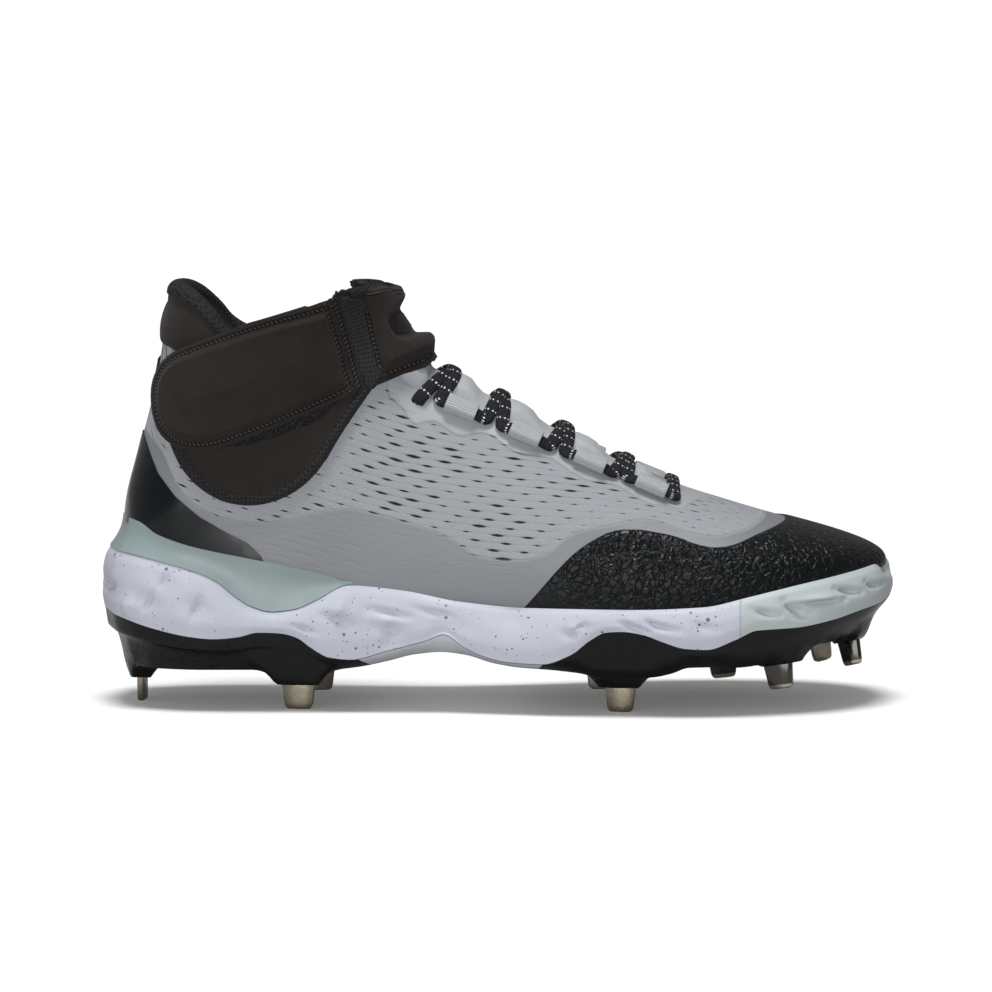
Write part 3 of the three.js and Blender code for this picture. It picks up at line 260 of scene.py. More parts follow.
# Lines and outlines of the side view, each point as x and z
LINING_TOP = [
    [0.04, 0.985], [0.085, 1.005], [0.112, 0.99], [0.14, 0.945], [0.165, 0.895], [0.2, 0.865],
    [0.25, 0.87], [0.29, 0.9], [0.33, 0.96], [0.36, 1.0],
]
LINING_FOOT = [[0, 0.56], [0.12, 0.5], [0.24, 0.5], [0.34, 0.66], [0.42, 0.86]]
UPPER_TOP = [
    [0.03, 0.82], [0.085, 0.845], [0.13, 0.79], [0.19, 0.76], [0.25, 0.765], [0.31, 0.8],
    [0.36, 0.86], [0.42, 0.92],
]
PANEL_EDGE = [
    [0.1, 0.6], [0.112, 0.548], [0.133, 0.5], [0.163, 0.466], [0.2, 0.457], [0.24, 0.48],
    [0.275, 0.536], [0.31, 0.645], [0.345, 0.748],
]
PANEL_TOP = [
    [0.345, 0.748], [0.34, 0.81], [0.3, 0.785], [0.25, 0.75], [0.19, 0.745], [0.13, 0.775],
    [0.103, 0.755], [0.094, 0.7], [0.1, 0.6],
]
STRAP = [
    [0.303, 0.985], [0.29, 0.965], [0.2, 0.915], [0.12, 0.855], [0.086, 0.815], [0.069, 0.755],
    [0.069, 0.69], [0.079, 0.635], [0.1, 0.602], [0.13, 0.592], [0.165, 0.605], [0.242, 0.664],
    [0.31, 0.722], [0.33, 0.74], [0.333, 0.76], [0.318, 0.87],
]
STRAP_LINK = [[0.309, 0.98], [0.325, 0.87], [0.342, 0.755], [0.368, 0.775], [0.33, 0.97]]
TONGUE_PANEL = [
    [0.318, 0.985], [0.352, 0.753], [0.384, 0.777], [0.412, 0.792], [0.422, 0.808], [0.45, 0.85],
    [0.45, 1.2], [0.3, 1.2],
]
TONGUE_PANEL_TOP = [
    [0.28, 0.975], [0.295, 0.98], [0.312, 1], [0.352, 1.008], [0.366, 0.993], [0.46, 0.96],
]
TONGUE_PAD = [
    [0.333, 0.989], [0.366, 0.995], [0.381, 0.97], [0.383, 0.94], [0.369, 0.924], [0.364, 0.897],
    [0.376, 0.864], [0.397, 0.869], [0.413, 0.864], [0.42, 0.836], [0.416, 0.816], [0.383, 0.795],
    [0.359, 0.785], [0.349, 0.845], [0.338, 0.926],
]
LABEL = [[0.372, 0.918], [0.372, 0.874], [0.44, 0.874], [0.44, 0.918]]
TONGUE_TOP = [[0.15, 0.84], [0.24, 0.885], [0.33, 0.92], [0.45, 0.95]]
CAP_EDGE = [
    [0.53, 0.2], [0.553, 0.253], [0.573, 0.3], [0.6, 0.352], [0.635, 0.392], [0.665, 0.4],
    [0.695, 0.393], [0.72, 0.382], [0.745, 0.364], [0.77, 0.356], [0.793, 0.362], [0.82, 0.38],
    [0.85, 0.395], [0.875, 0.402], [0.9, 0.41], [0.915, 0.43],
]
CAP_LINE = CAP_EDGE + [[0.93, 0.5], [1.05, 0.9]]
COUNTER_EDGE = [
    [0.045, 0.665], [0.062, 0.6], [0.078, 0.53], [0.1, 0.475], [0.13, 0.425], [0.16, 0.39],
    [0.19, 0.36], [0.206, 0.33],
]
HEEL_PULL = [[-0.1, 0.815], [-0.1, 0.7], [0.12, 0.7], [0.12, 0.815]]

# Cuts between the plates: x at their top and at their foot
HEEL_CUT = [0.306, 0.352]
FRONT_CUT = [0.566, 0.546]

# Lines and outlines that only the dressed part shows: the smooth film's border, the strap's seam,
# the tape behind the tongue's panel and the fuzzy tape under the strap
FILM_TOP = [
    [-0.02, 0.74], [0.071, 0.613], [0.103, 0.506], [0.131, 0.448], [0.169, 0.42], [0.203, 0.412],
    [0.24, 0.42], [0.276, 0.438], [0.314, 0.447], [0.358, 0.43], [0.393, 0.41], [0.428, 0.389],
    [0.451, 0.364], [0.47, 0.336], [0.497, 0.326], [0.533, 0.326], [0.563, 0.344], [0.594, 0.392],
    [0.635, 0.41], [0.675, 0.425], [0.703, 0.415], [0.735, 0.392], [0.769, 0.382], [0.792, 0.389],
    [0.83, 0.41], [0.95, 0.53], [1.05, 0.64],
]
STRAP_SEAM = [[0.333, 0.7405], [0.2975, 0.9865]]
REAR_TAPE = [
    [0.304, 0.958], [0.336, 0.752], [0.353, 0.76], [0.357, 0.8], [0.34, 0.93], [0.334, 0.965],
    [0.318, 0.972],
]
HOOK_TAPE = [
    [0.15, 0.6], [0.175, 0.6], [0.196, 0.606], [0.251, 0.641], [0.276, 0.664], [0.296, 0.7],
    [0.312, 0.73], [0.25, 0.72], [0.19, 0.66], [0.15, 0.62],
]

# Folds of the strap and creases of the foam: a line, and its depth and width in mm
STRAP_FOLDS = [
    [[[0.28, 0.72], [0.306, 0.752], [0.312, 0.79]], 1.1, 4],
    [[[0.262, 0.735], [0.285, 0.78]], 0.5, 4],
    [[[0.09, 0.74], [0.11, 0.68], [0.15, 0.665]], 0.5, 5],
    [[[0.17, 0.87], [0.24, 0.89]], 0.4, 5],
]
CREASES = [
    [[[0.009, 0.247], [0.017, 0.224]], 0.9, 3],
    [[[0.079, 0.271], [0.09, 0.258]], 0.8, 4],
    [[[0.06, 0.217], [0.071, 0.205]], 0.9, 4],
    [[[0.12, 0.209], [0.135, 0.196]], 0.9, 4.5],
    [[[0.03, 0.2], [0.05, 0.19]], -0.7, 4],
    [[[0.248, 0.158], [0.261, 0.149], [0.272, 0.139]], 0.5, 1],
    [[[0.285, 0.186], [0.303, 0.172], [0.315, 0.158]], 1, 1.5],
    [[[0.29, 0.205], [0.315, 0.19]], -0.8, 4],
    [[[0.342, 0.2], [0.366, 0.188], [0.388, 0.18]], 0.9, 1.5],
    [[[0.35, 0.175], [0.375, 0.165]], -0.7, 3],
    [[[0.353, 0.162], [0.369, 0.146], [0.366, 0.118]], 1, 2.4],
    [[[0.395, 0.206], [0.419, 0.191], [0.44, 0.186]], 0.6, 1.3],
    [[[0.41, 0.17], [0.47, 0.16]], 0.6, 5],
    [[[0.5, 0.19], [0.54, 0.17]], 0.5, 5],
    [[[0.581, 0.155], [0.6, 0.135]], 0.7, 1.3],
    [[[0.595, 0.175], [0.612, 0.157]], 0.7, 1.3],
    [[[0.59, 0.173], [0.597, 0.159]], -0.4, 1.5],
    [[[0.644, 0.191], [0.657, 0.172], [0.68, 0.156], [0.69, 0.158]], 0.8, 1.2],
    [[[0.672, 0.197], [0.69, 0.172], [0.72, 0.158]], 0.8, 1.3],
    [[[0.74, 0.177], [0.766, 0.157]], 0.5, 1.4],
    [[[0.812, 0.211], [0.829, 0.198], [0.846, 0.19]], 0.9, 1.2],
    [[[0.853, 0.227], [0.863, 0.206], [0.886, 0.192]], 1.3, 1.5],
    [[[0.866, 0.217], [0.904, 0.219], [0.93, 0.221]], 0.9, 1],
    [[[0.87, 0.224], [0.905, 0.228], [0.925, 0.229]], -0.6, 1.5],
    [[[0.918, 0.249], [0.939, 0.237], [0.951, 0.234]], 1, 1.2],
    [[[0.862, 0.187], [0.89, 0.179]], 0.6, 1.1],
    [[[0.958, 0.258], [0.967, 0.246], [0.98, 0.245]], 0.8, 1.1],
    [[[0.98, 0.287], [0.998, 0.257]], 0.7, 1.3],
]

# The last's skin

LAST = np.array(LAST)
LAST_ENDS = len(LAST) - 1


def smooth_table(rows, at, column=1):
    """A smooth value of one column at places along the first, with no overshoot."""
    rows = np.array([[float(value) for value in row] for row in rows])
    x, y = rows[:, 0], rows[:, column]
    slope = np.diff(y) / np.diff(x)
    together = slope[:-1] * slope[1:] > 0
    total = np.where(together, slope[:-1] + slope[1:], 1)
    middle = np.where(together, 2 * slope[:-1] * slope[1:] / total, 0)
    tangent = np.concatenate([slope[:1], middle, slope[-1:]])
    at = np.clip(at, x[0], x[-1])
    i = np.clip(np.searchsorted(x, at, side="right") - 1, 0, len(x) - 2)
    span = x[i + 1] - x[i]
    t = (at - x[i]) / span
    ends = y[i] * (1 + 2 * t) * (1 - t) ** 2 + y[i + 1] * t * t * (3 - 2 * t)
    return ends + span * (tangent[i] * t * (1 - t) ** 2 - tangent[i + 1] * t * t * (1 - t))


def sections(u):
    """The last's table at places between its rows, as ten smooth columns."""
    i = np.clip(np.floor(u).astype(int), 0, LAST_ENDS - 1)
    t = (u - i)[:, None]
    a, b, c, d = (LAST[np.clip(i + k, 0, LAST_ENDS)] for k in (-1, 0, 1, 2))
    bend = 2 * a - 5 * b + 4 * c - d + t * (3 * (b - c) + d - a)
    return (b + t * (c - a + t * bend) / 2).T


Y_SHIFT = (max(row[1] for row in SOLE_OUTLINE) - max(row[2] for row in SOLE_OUTLINE)) / 2


def place(x, y, z):
    """Points from shares of the three sizes."""
    columns = (x - 0.5) * SHOE_LENGTH, (y + Y_SHIFT) * BALL_WIDTH, STUD_FREE_LENGTH + z * BODY_HEIGHT
    return np.stack(np.broadcast_arrays(*columns), axis=-1)


def powered(value, power):
    """A power that keeps the value's sign."""
    return np.sign(value) * np.abs(value) ** power


def last_points(u, turn):
    """Points of the last's skin. turn is 0 under the foot, 0.25 outside and 0.5 on top."""
    u, turn = np.broadcast_arrays(np.asarray(u, float), np.asarray(turn, float))
    ox, oz, ix, iz, cy, lat, med, belly, base, top = sections(np.maximum(u, 0).ravel())
    angle = 2 * np.pi * turn.ravel()
    rise, side = -np.cos(angle), -np.sin(angle)
    power = 2 / np.where(rise < 0, base, top)
    share = belly + np.where(rise < 0, belly, 1 - belly) * powered(rise, power)
    y = cy + np.where(side < 0, lat, med) * powered(side, power)
    return place(ox + (ix - ox) * share, y, oz + (iz - oz) * share).reshape(*u.shape, 3)


def unit(vectors):
    return vectors / np.maximum(np.linalg.norm(vectors, axis=-1, keepdims=True), 1e-12)


def last_normals(u, turn, step_u=0.15, step_turn=0.012):
    along_turn = last_points(u, turn + step_turn) - last_points(u, turn - step_turn)
    along_length = last_points(u + step_u, turn) - last_points(u - step_u, turn)
    return unit(np.cross(along_turn, along_length))


def skin(u, turn, offset=0):
    """Points at an offset from the last's skin."""
    u, turn, offset = np.broadcast_arrays(u, turn, offset)
    return last_points(u, turn) + last_normals(u, turn) * offset[..., None]


# The skin as a fine net, for unrolled coordinates
NET_U = np.linspace(0.05, LAST_ENDS, 221)
NET_TURN = np.linspace(0, 1, 193)
NET = last_points(NET_U[:, None], NET_TURN[None, :])
NET_STEPS = np.hypot(*np.moveaxis(np.diff(NET, axis=1)[..., 1:], -1, 0))
NET_GIRTH = np.concatenate([np.zeros((len(NET_U), 1)), np.cumsum(NET_STEPS, axis=1)], axis=1)
TOP = len(NET_TURN) // 2


def unrolled(u, turn):
    """The skin laid flat on each side of its ridge: place along the shoe, and height."""
    down = np.abs(NET_GIRTH - NET_GIRTH[:, TOP : TOP + 1])
    height = NET[:, TOP : TOP + 1, 2] - down
    i = np.clip((u - NET_U[0]) / (NET_U[1] - NET_U[0]), 0, len(NET_U) - 1.001)
    j = np.clip(np.mod(turn, 1.0000001) * (len(NET_TURN) - 1), 0, len(NET_TURN) - 1.001)
    a, b = i.astype(int), j.astype(int)
    s, t = i - a, j - b
    low = height[a, b] * (1 - t) + height[a, b + 1] * t
    high = height[a + 1, b] * (1 - t) + height[a + 1, b + 1] * t
    return np.stack([last_points(u, turn)[..., 0], low * (1 - s) + high * s], axis=-1)


# Outlines and lines of the side view

def side_view(points):
    return points[..., [0, 2]]


def places(pairs):
    """Side view points from rows of x and z."""
    x, z = np.array(pairs, float).T
    return place(x, 0, z)[:, [0, 2]]


def curve_through(pairs, steps=6, closed=False):
    """A smooth run of points through the pairs."""
    p = places(pairs)
    count = len(p)
    at = lambda k: p[k % count] if closed else p[min(max(k, 0), count - 1)]
    run = []
    for i in range(count if closed else count - 1):
        a, b, c, d = at(i - 1), at(i), at(i + 1), at(i + 2)
        for t in np.arange(steps) / steps:
            bend = 2 * a - 5 * b + 4 * c - d + t * (3 * (b - c) + d - a)
            run.append(b + t * (c - a + t * bend) / 2)
    return np.array(run if closed else run + [p[-1]])


def run_length(run):
    return np.linalg.norm(np.diff(run, axis=0), axis=1).sum()


def nearest(points, run, closed=False):
    """Distance of each point from a run of points, and how far along the run that is."""
    ends = np.roll(run, -1, axis=0) if closed else run[1:]
    starts = run if closed else run[:-1]
    spans = ends - starts
    lengths = np.linalg.norm(spans, axis=1)
    before = np.concatenate([[0], np.cumsum(lengths)[:-1]])
    best = np.full(len(points), np.inf)
    along = np.zeros(len(points))
    for start, span, length, base in zip(starts, spans, lengths, before):
        t = np.clip((points - start) @ span / max(length * length, 1e-18), 0, 1)
        away = np.linalg.norm(points - start - t[:, None] * span, axis=1)
        closer = away < best
        best = np.where(closer, away, best)
        along = np.where(closer, base + t * length, along)
    return best, along


def depth_inside(points, outline):
    """Distance from a closed outline, above zero inside it."""
    away, _ = nearest(points, outline, closed=True)
    inside = np.zeros(len(points), bool)
    x, z = points.T
    for (x1, z1), (x2, z2) in zip(outline, np.roll(outline, -1, axis=0)):
        crosses = (z1 > z) != (z2 > z)
        reach = x1 + (z - z1) * (x2 - x1) / np.where(z2 == z1, 1e-12, z2 - z1)
        inside ^= crosses & (x < reach)
    return np.where(inside, away, -away)


def above_line(points, pairs):
    """Height of each point over a line that runs along the shoe."""
    run = curve_through(pairs)
    order = np.argsort(run[:, 0])
    return points[:, 1] - np.interp(points[:, 0], run[order, 0], run[order, 1])


def eased(value, low, high):
    """A soft step from 0 to 1."""
    t = np.clip((value - low) / (high - low), 0, 1)
    return t * t * (3 - 2 * t)


# Meshes

def coordinates(piece):
    co = np.empty(len(piece.data.vertices) * 3, np.float32)
    piece.data.vertices.foreach_get("co", co)
    return co.reshape(-1, 3).astype(float)


def move_to(piece, points):
    piece.data.vertices.foreach_set("co", np.asarray(points, np.float32).ravel())
    piece.data.update()


def grid(name, rows, columns):
    """A flat grid, and the shares of each of its points along its rows and columns."""
    bpy.ops.object.select_all(action="DESELECT")
    bpy.ops.mesh.primitive_grid_add(x_subdivisions=columns, y_subdivisions=rows, size=2)
    piece = bpy.context.object
    piece.name = piece.data.name = name
    co = coordinates(piece)
    return piece, (co[:, 1] + 1) / 2, (co[:, 0] + 1) / 2


def attach(piece, name, values):
    """Keeps a number, or a vector, for each point of a mesh."""
    values = np.asarray(values, np.float32)
    if values.ndim == 2 and values.shape[1] == 2:
        values = np.column_stack([values, np.zeros(len(values))])
    form, field = ("FLOAT", "value") if values.ndim == 1 else ("FLOAT_VECTOR", "vector")
    piece.data.attributes.new(name, form, "POINT").data.foreach_set(field, values.ravel())


def edit(piece, change):
    mesh = bmesh.new()
    mesh.from_mesh(piece.data)
    change(mesh)
    mesh.to_mesh(piece.data)
    mesh.free()
    piece.data.update()


def weld(piece, distance=1e-5):
    edit(piece, lambda mesh: bmesh.ops.remove_doubles(mesh, verts=mesh.verts, dist=distance))


def face_out(piece):
    edit(piece, lambda mesh: bmesh.ops.recalc_face_normals(mesh, faces=mesh.faces))


def trim(piece, values, snap=0.02 * MM):
    """Keeps the part of a mesh where the values of its points are above zero."""
    values = np.where(np.abs(values) < snap, 0, values)

    def change(mesh):
        layer = mesh.verts.layers.float.new("trim")
        for vertex, value in zip(mesh.verts, values):
            vertex[layer] = value
        for edge in list(mesh.edges):
            a, b = edge.verts
            if a[layer] * b[layer] < 0:
                share = a[layer] / (a[layer] - b[layer])
                bmesh.utils.edge_split(edge, a, share)[1][layer] = 0
        for face in list(mesh.faces):
            signs = [vertex[layer] for vertex in face.verts]
            border = [vertex for vertex in face.verts if vertex[layer] == 0]
            if len(border) == 2 and min(signs) < 0 < max(signs):
                bmesh.utils.face_split(face, *border)
        outside = [face for face in mesh.faces if sum(v[layer] for v in face.verts) <= 0]
        bmesh.ops.delete(mesh, geom=outside, context="FACES")
        mesh.verts.layers.float.remove(layer)

    edit(piece, change)


def modify(piece, kind, **settings):
    """Adds a modifier and applies it."""
    modifier = piece.modifiers.new(kind.title(), kind)
    for name, value in settings.items():
        setattr(modifier, name, value)
    bpy.context.view_layer.objects.active = piece
    bpy.ops.object.modifier_apply(modifier=modifier.name)


def thicken(piece, thickness):
    modify(piece, "SOLIDIFY", thickness=thickness, offset=-1)
    return piece


def dress(piece, finish_name, slot, *nodes, angle=40):
    """Finishes a piece: its material, shading, place on the frame and the nodes it stands for."""
    bpy.ops.object.select_all(action="DESELECT")
    piece.select_set(True)
    bpy.context.view_layer.objects.active = piece
    bpy.ops.object.shade_smooth_by_angle(angle=math.radians(angle))
    piece.data.materials.clear()
    piece.data.materials.append(finish(finish_name))
    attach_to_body(piece, "root")
    if nodes:
        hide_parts(*nodes)
    return piece


def skin_patch(name, along, around, step=1.2 * MM):
    """A patch of the skin between two places along the last and two turns round it. Returns the
    mesh with the place and turn of each of its points."""
    lengthwise = last_points(np.linspace(*along, 40), sum(around) / 2)
    crosswise = last_points(sum(along) / 2, np.linspace(*around, 60))
    rows, columns = (max(int(run_length(line) / step), 4) for line in (lengthwise, crosswise))
    piece, s, t = grid(name, rows, columns)
    return piece, along[0] + (along[1] - along[0]) * s, around[0] + (around[1] - around[0]) * t


def overlay(name, along, around, depth, height, step=1.2 * MM, seat=0):
    """A layer over the skin. depth gives each side view point's distance inside the outline, as
    seen at the height of the seat, and height the top of the layer over the skin there."""
    piece, u, turn = skin_patch(name, along, around, step)
    flat = side_view(skin(u, turn, seat))
    inside = depth(flat, u, turn)
    move_to(piece, skin(u, turn, height(flat, inside)))
    attach(piece, "edge", inside)
    attach(piece, "skin", unrolled(u, turn))
    return piece, inside, flat


def loft(name, rings, closed=True):
    """A mesh through rings of points, given as rows by points by three."""
    rings = np.asarray(rings)
    if closed:
        rings = np.concatenate([rings, rings[:, :1]], axis=1)
    rows, columns = rings.shape[0] - 1, rings.shape[1] - 1
    piece, s, t = grid(name, rows, columns)
    i, j = np.rint(s * rows).astype(int), np.rint(t * columns).astype(int)
    move_to(piece, rings[i, j])
    return piece, i, j


# The sole: rings of points round the foot, from the heel along the outer side and back

def sole_side(x, column, side):
    return place(x, side * smooth_table(SOLE_OUTLINE, x, column), 0)[:, :2]


def there_and_back(values):
    return np.concatenate([values, values[-2:0:-1]])


def settled(ring, rounds):
    """Softens a closed run of values."""
    for _ in range(rounds):
        ring = (np.roll(ring, 1, axis=0) + 2 * ring + np.roll(ring, -1, axis=0)) / 4
    return ring


def sole_ring():
    """The outline's x and points, and the x and points of the spine that the underside closes on."""
    t = np.linspace(0, 1, STATIONS + 1)
    x = t - STATION_CROWDING * np.sin(2 * np.pi * t)
    ring = np.concatenate([sole_side(x, 1, -1), sole_side(x, 2, 1)[-2:0:-1]])
    ring = settled(ring, 5)
    core = SPINE_START + SPINE_SHARE * x
    spine = (sole_side(core, 1, -1) + sole_side(core, 2, 1)) / 2
    return there_and_back(x), ring, there_and_back(spine), there_and_back(core)


RING_X, RING, SPINE, SPINE_X = sole_ring()
RING_RUN = np.roll(RING, -1, axis=0) - np.roll(RING, 1, axis=0)
RING_IN = unit(settled(unit(np.column_stack([-RING_RUN[:, 1], RING_RUN[:, 0]])), 60))


def height_of(rows, x=RING_X):
    return STUD_FREE_LENGTH + smooth_table(rows, x) * BODY_HEIGHT


RIM, JOINT, GROUND = height_of(SOLE_RIM), height_of(SOLE_JOINT), height_of(SOLE_GROUND)


def level(inset, height):
    """A ring set in from the sole's outline by a share of the ball's width."""
    inset = np.broadcast_to(inset, RING_X.shape)
    plan = RING + RING_IN * (inset * BALL_WIDTH)[:, None]
    return np.column_stack([plan, np.broadcast_to(height, RING_X.shape)])


def midsole_piece(crease_share):
    ups = np.linspace(0, 1, 44)
    sides = [level(smooth_table(MIDSOLE_SIDE, up), JOINT + up * (RIM - JOINT)) for up in ups]
    under = [level(0.1, JOINT + 1 * MM), level(0.045, JOINT)]
    inner = [level(0.055, RIM - 0.4 * MM), level(0.09, RIM - 4 * MM)]
    piece, row, ring = loft("midsole_foam", under + sides + inner)
    points = coordinates(piece)
    flat = side_view(points)
    depth = np.zeros(len(points))
    for crease, crease_depth, width in CREASES:
        line = curve_through(crease, 5)
        away, along = nearest(flat, line)
        fade = np.sin(np.pi * np.clip(along / run_length(line), 0.12, 0.88))
        depth += crease_share * crease_depth * MM * fade * np.exp(-((away / (width * MM)) ** 2))
    inward = np.column_stack([RING_IN[ring % len(RING_X)], np.zeros(len(points))])
    on_side = eased(row, 2, 5) * (1 - eased(row, len(ups) - 1, len(ups) + 1))
    move_to(piece, points + inward * (depth * on_side)[:, None])
    weld(piece)
    return piece


def clip_piece():
    edge = np.maximum(height_of(CLIP_EDGE), RIM + 2 * GAP)
    inset = smooth_table(CLIP_EDGE, RING_X, 2)
    foot = MIDSOLE_SIDE[-1][1]
    proud = 0.004 - 0.012 * eased(RING_X, 0.27, 0.318)
    rows = [level(foot + 0.03, RIM + 0.1 * MM), level(foot + 0.012, RIM + 0.1 * MM)]
    for up in np.linspace(0, 1, 14):
        hollow = 0.012 * np.sin(np.pi * up) * np.clip((edge - RIM) / (12 * MM), 0, 1)
        rows.append(level(foot + (inset - foot) * up + hollow - proud, RIM + 0.3 * MM + up * (edge - RIM)))
    rows += [level(inset + 0.004, edge + 0.4 * MM), level(inset + 0.03, edge - 0.2 * MM)]
    piece, _, _ = loft("heel_clip_shell", rows)
    x = coordinates(piece)[:, 0] / SHOE_LENGTH + 0.5
    trim(piece, (CLIP_EDGE[-1][0] + 0.01 - x) * SHOE_LENGTH)
    weld(piece)
    return piece


def boss_floor(points):
    """Height of the underside where bosses round the studs stand out of it."""
    floor = np.full(len(points), 1.0)
    for _, x, y, width, turn, lean in STUDS:
        tip = STUD_FREE_LENGTH + smooth_table(ROCKER, x) * BODY_HEIGHT
        centre = place(x, y, 0)[:2]
        angle = math.radians(turn)
        dx, dy = (points[:, :2] - centre).T
        across = dx * math.cos(angle) + dy * math.sin(angle)
        deep = dy * math.cos(angle) - dx * math.sin(angle)
        half_x, half_y = (width * STUD_WIDTH + 3 * MM) / 2, (STUD_THICKNESS + 5 * MM) / 2
        out = np.hypot(np.maximum(np.abs(across) - half_x, 0), np.maximum(np.abs(deep) - half_y, 0))
        outs, rises = np.array(BOSS_RISE).T * MM
        rise = np.interp(out, outs, rises) + np.maximum(out - outs[-1], 0)
        near = np.clip(across, -10 * MM, 10 * MM)
        floor = np.minimum(floor, tip + rise + near * math.tan(math.radians(lean)))
    return floor


def plate_mesh():
    """The heel, arch and forefoot plates as one, before it is cut."""
    with_ledge = 1 - eased(RING_X, 0.14, 0.27)
    rows = [level(0.06, JOINT - 2 * MM), level(0.03, JOINT - GAP)]
    ups = np.linspace(1, 0, 26)
    for up in ups:
        inset = smooth_table(PLATE_LEDGE, up) * with_ledge + smooth_table(PLATE_SWEEP, up) * (1 - with_ledge)
        rows.append(level(inset, GROUND + up * (JOINT - GAP - GROUND)))
    edge = rows[-1]
    spine = np.column_stack([SPINE, height_of(SOLE_GROUND, SPINE_X)])
    under = np.linspace(0, 1, 26)[1:]
    rows += [edge + (spine - edge) * share for share in under]
    piece, row, _ = loft("plates", rows)
    points = coordinates(piece)
    low = eased(row, 2 + 0.35 * len(ups), 2 + 0.9 * len(ups))
    floor = boss_floor(points)
    blend = np.clip(0.5 + (floor - points[:, 2]) / (4 * BOSS_SOFTNESS), 0, 1)
    lowered = floor + (points[:, 2] - floor) * blend - 2 * BOSS_SOFTNESS * blend * (1 - blend)
    points[:, 2] += (np.minimum(lowered, points[:, 2]) - points[:, 2]) * low
    move_to(piece, points)
    return piece


def plate_piece(name, keep):
    """One plate, cut from the whole."""
    piece = plate_mesh()
    piece.name = piece.data.name = name
    points = coordinates(piece)
    x = points[:, 0] / SHOE_LENGTH + 0.5
    z = (points[:, 2] - STUD_FREE_LENGTH) / BODY_HEIGHT
    heel_cut, front_cut = (np.interp(z, CUT_HEIGHTS, cut[::-1]) for cut in (HEEL_CUT, FRONT_CUT))
    values = {
        "heel": heel_cut - x,
        "arch": np.minimum(x - heel_cut, front_cut - x),
        "forefoot": x - front_cut,
    }
    trim(piece, values[keep] * SHOE_LENGTH)
    weld(piece)
    return piece


def stud_piece(stud):
    """A steel blade with a prow on its outer face and rounded corners at its foot."""
    name, x, y, width, turn, lean = stud
    half, thick = width * STUD_WIDTH / 2, STUD_THICKNESS / 2
    rows = []
    for z, wide, deep in STUD_SHAPE:
        rows.append([[sx * half * wide, sy * thick * deep, z * MM] for sx, sy in STUD_SECTION])
    rows.append([[0, 0, STUD_ROOT]] * len(STUD_SECTION))
    piece, _, _ = loft("blade_" + name, rows)
    weld(piece)
    face_out(piece)
    modify(piece, "BEVEL", width=0.35 * MM, segments=2, limit_method="ANGLE", angle_limit=math.radians(25))
    tip = smooth_table(ROCKER, x) * BODY_HEIGHT
    points = coordinates(piece)
    attach(piece, "rise", points[:, 2])
    a, b = math.radians(-lean), math.radians(turn)
    px, py, pz = points.T
    px, pz = px * math.cos(a) + pz * math.sin(a), pz * math.cos(a) - px * math.sin(a)
    centre = place(x, y, 0)
    move_to(piece, np.column_stack([
        centre[0] + px * math.cos(b) - py * math.sin(b),
        centre[1] + px * math.sin(b) + py * math.cos(b),
        pz + tip,
    ]))
    return piece


# The upper and what lies on it

def throat_reach(u):
    return np.where(u < THROAT[0][0], -0.02, smooth_table(THROAT, u))


def from_middle(turn):
    return np.abs(np.mod(turn, 1) - 0.5)


def film_depth(flat):
    """Distance inside the smooth film at the foot of the upper, above zero in it."""
    return -above_line(flat, FILM_TOP)


def upper_piece():
    piece, u, turn = skin_patch("upper_knit", (0.02, 21.2), (0.5, 1.5), 1.9 * MM)
    points = last_points(u, turn)
    flat = side_view(points)
    throat = (from_middle(turn) - throat_reach(u)) * GIRTH
    top = -above_line(flat, UPPER_TOP)
    fold = 0.9 * MM * eased(throat, 0, 2.5 * MM)
    move_to(piece, skin(u, turn, -0.5 * MM + np.minimum(fold, 0.5 * MM)))
    attach(piece, "skin", unrolled(u, turn))
    attach(piece, "film", film_depth(flat))
    attach(piece, "eyestay", eyestay_depth(u, turn))
    attach(piece, "ankle", -depth_inside(flat, curve_through(PANEL_EDGE, 4)))
    attach(piece, "toe", above_line(flat, CAP_LINE))
    trim(piece, np.minimum(throat, top))
    weld(piece)
    return thicken(piece, UPPER_WALL)


def eyestay_depth(u, turn):
    """Distance inside the smooth film beside the throat, whose border waves round the loops."""
    wave = 0.005 * np.cos(2 * np.pi * (u - LACE_LOOPS[0][0]) / 1.02)
    reach = np.interp(u, *np.array(EYESTAY_REACH).T)
    return (reach + wave * eased(u, 6.6, 7.4) - from_middle(turn)) * GIRTH


def toe_cap_piece():
    def depth(flat, u, turn):
        x = flat[:, 0] / SHOE_LENGTH + 0.5
        over_rim = flat[:, 1] - height_of(SOLE_RIM, x) + 2.5 * MM
        under_line = -above_line(flat, CAP_LINE)
        return np.minimum(np.minimum(over_rim, under_line), (x - 0.53) * SHOE_LENGTH)

    height = lambda flat, inside: 0.8 * MM * eased(inside, -0.2 * MM, 1.2 * MM)
    piece, inside, _ = overlay("toe_cap_film", (0.02, 11), (0, 1), depth, height, 1.3 * MM)
    trim(piece, inside)
    weld(piece)
    return thicken(piece, 1 * MM)


def heel_patch_piece():
    def depth(flat, u, turn):
        x = flat[:, 0] / SHOE_LENGTH + 0.5
        over_clip = flat[:, 1] - height_of(CLIP_EDGE, x) + 0.6 * MM
        outline = places([[-0.05, 0.665], *COUNTER_EDGE, [0.24, 0.2], [-0.05, 0.2]])
        return np.minimum(over_clip, depth_inside(flat, outline))

    height = lambda flat, inside: 0.55 * MM + 0 * inside
    piece, inside, _ = overlay("heel_patch", (12.5, 19.5), (-0.25, 0.25), depth, height, 0.7 * MM)
    trim(piece, inside)
    return thicken(piece, 0.6 * MM)


def side_turns(side):
    return (0.0, 0.47) if side < 0 else (0.53, 1.0)


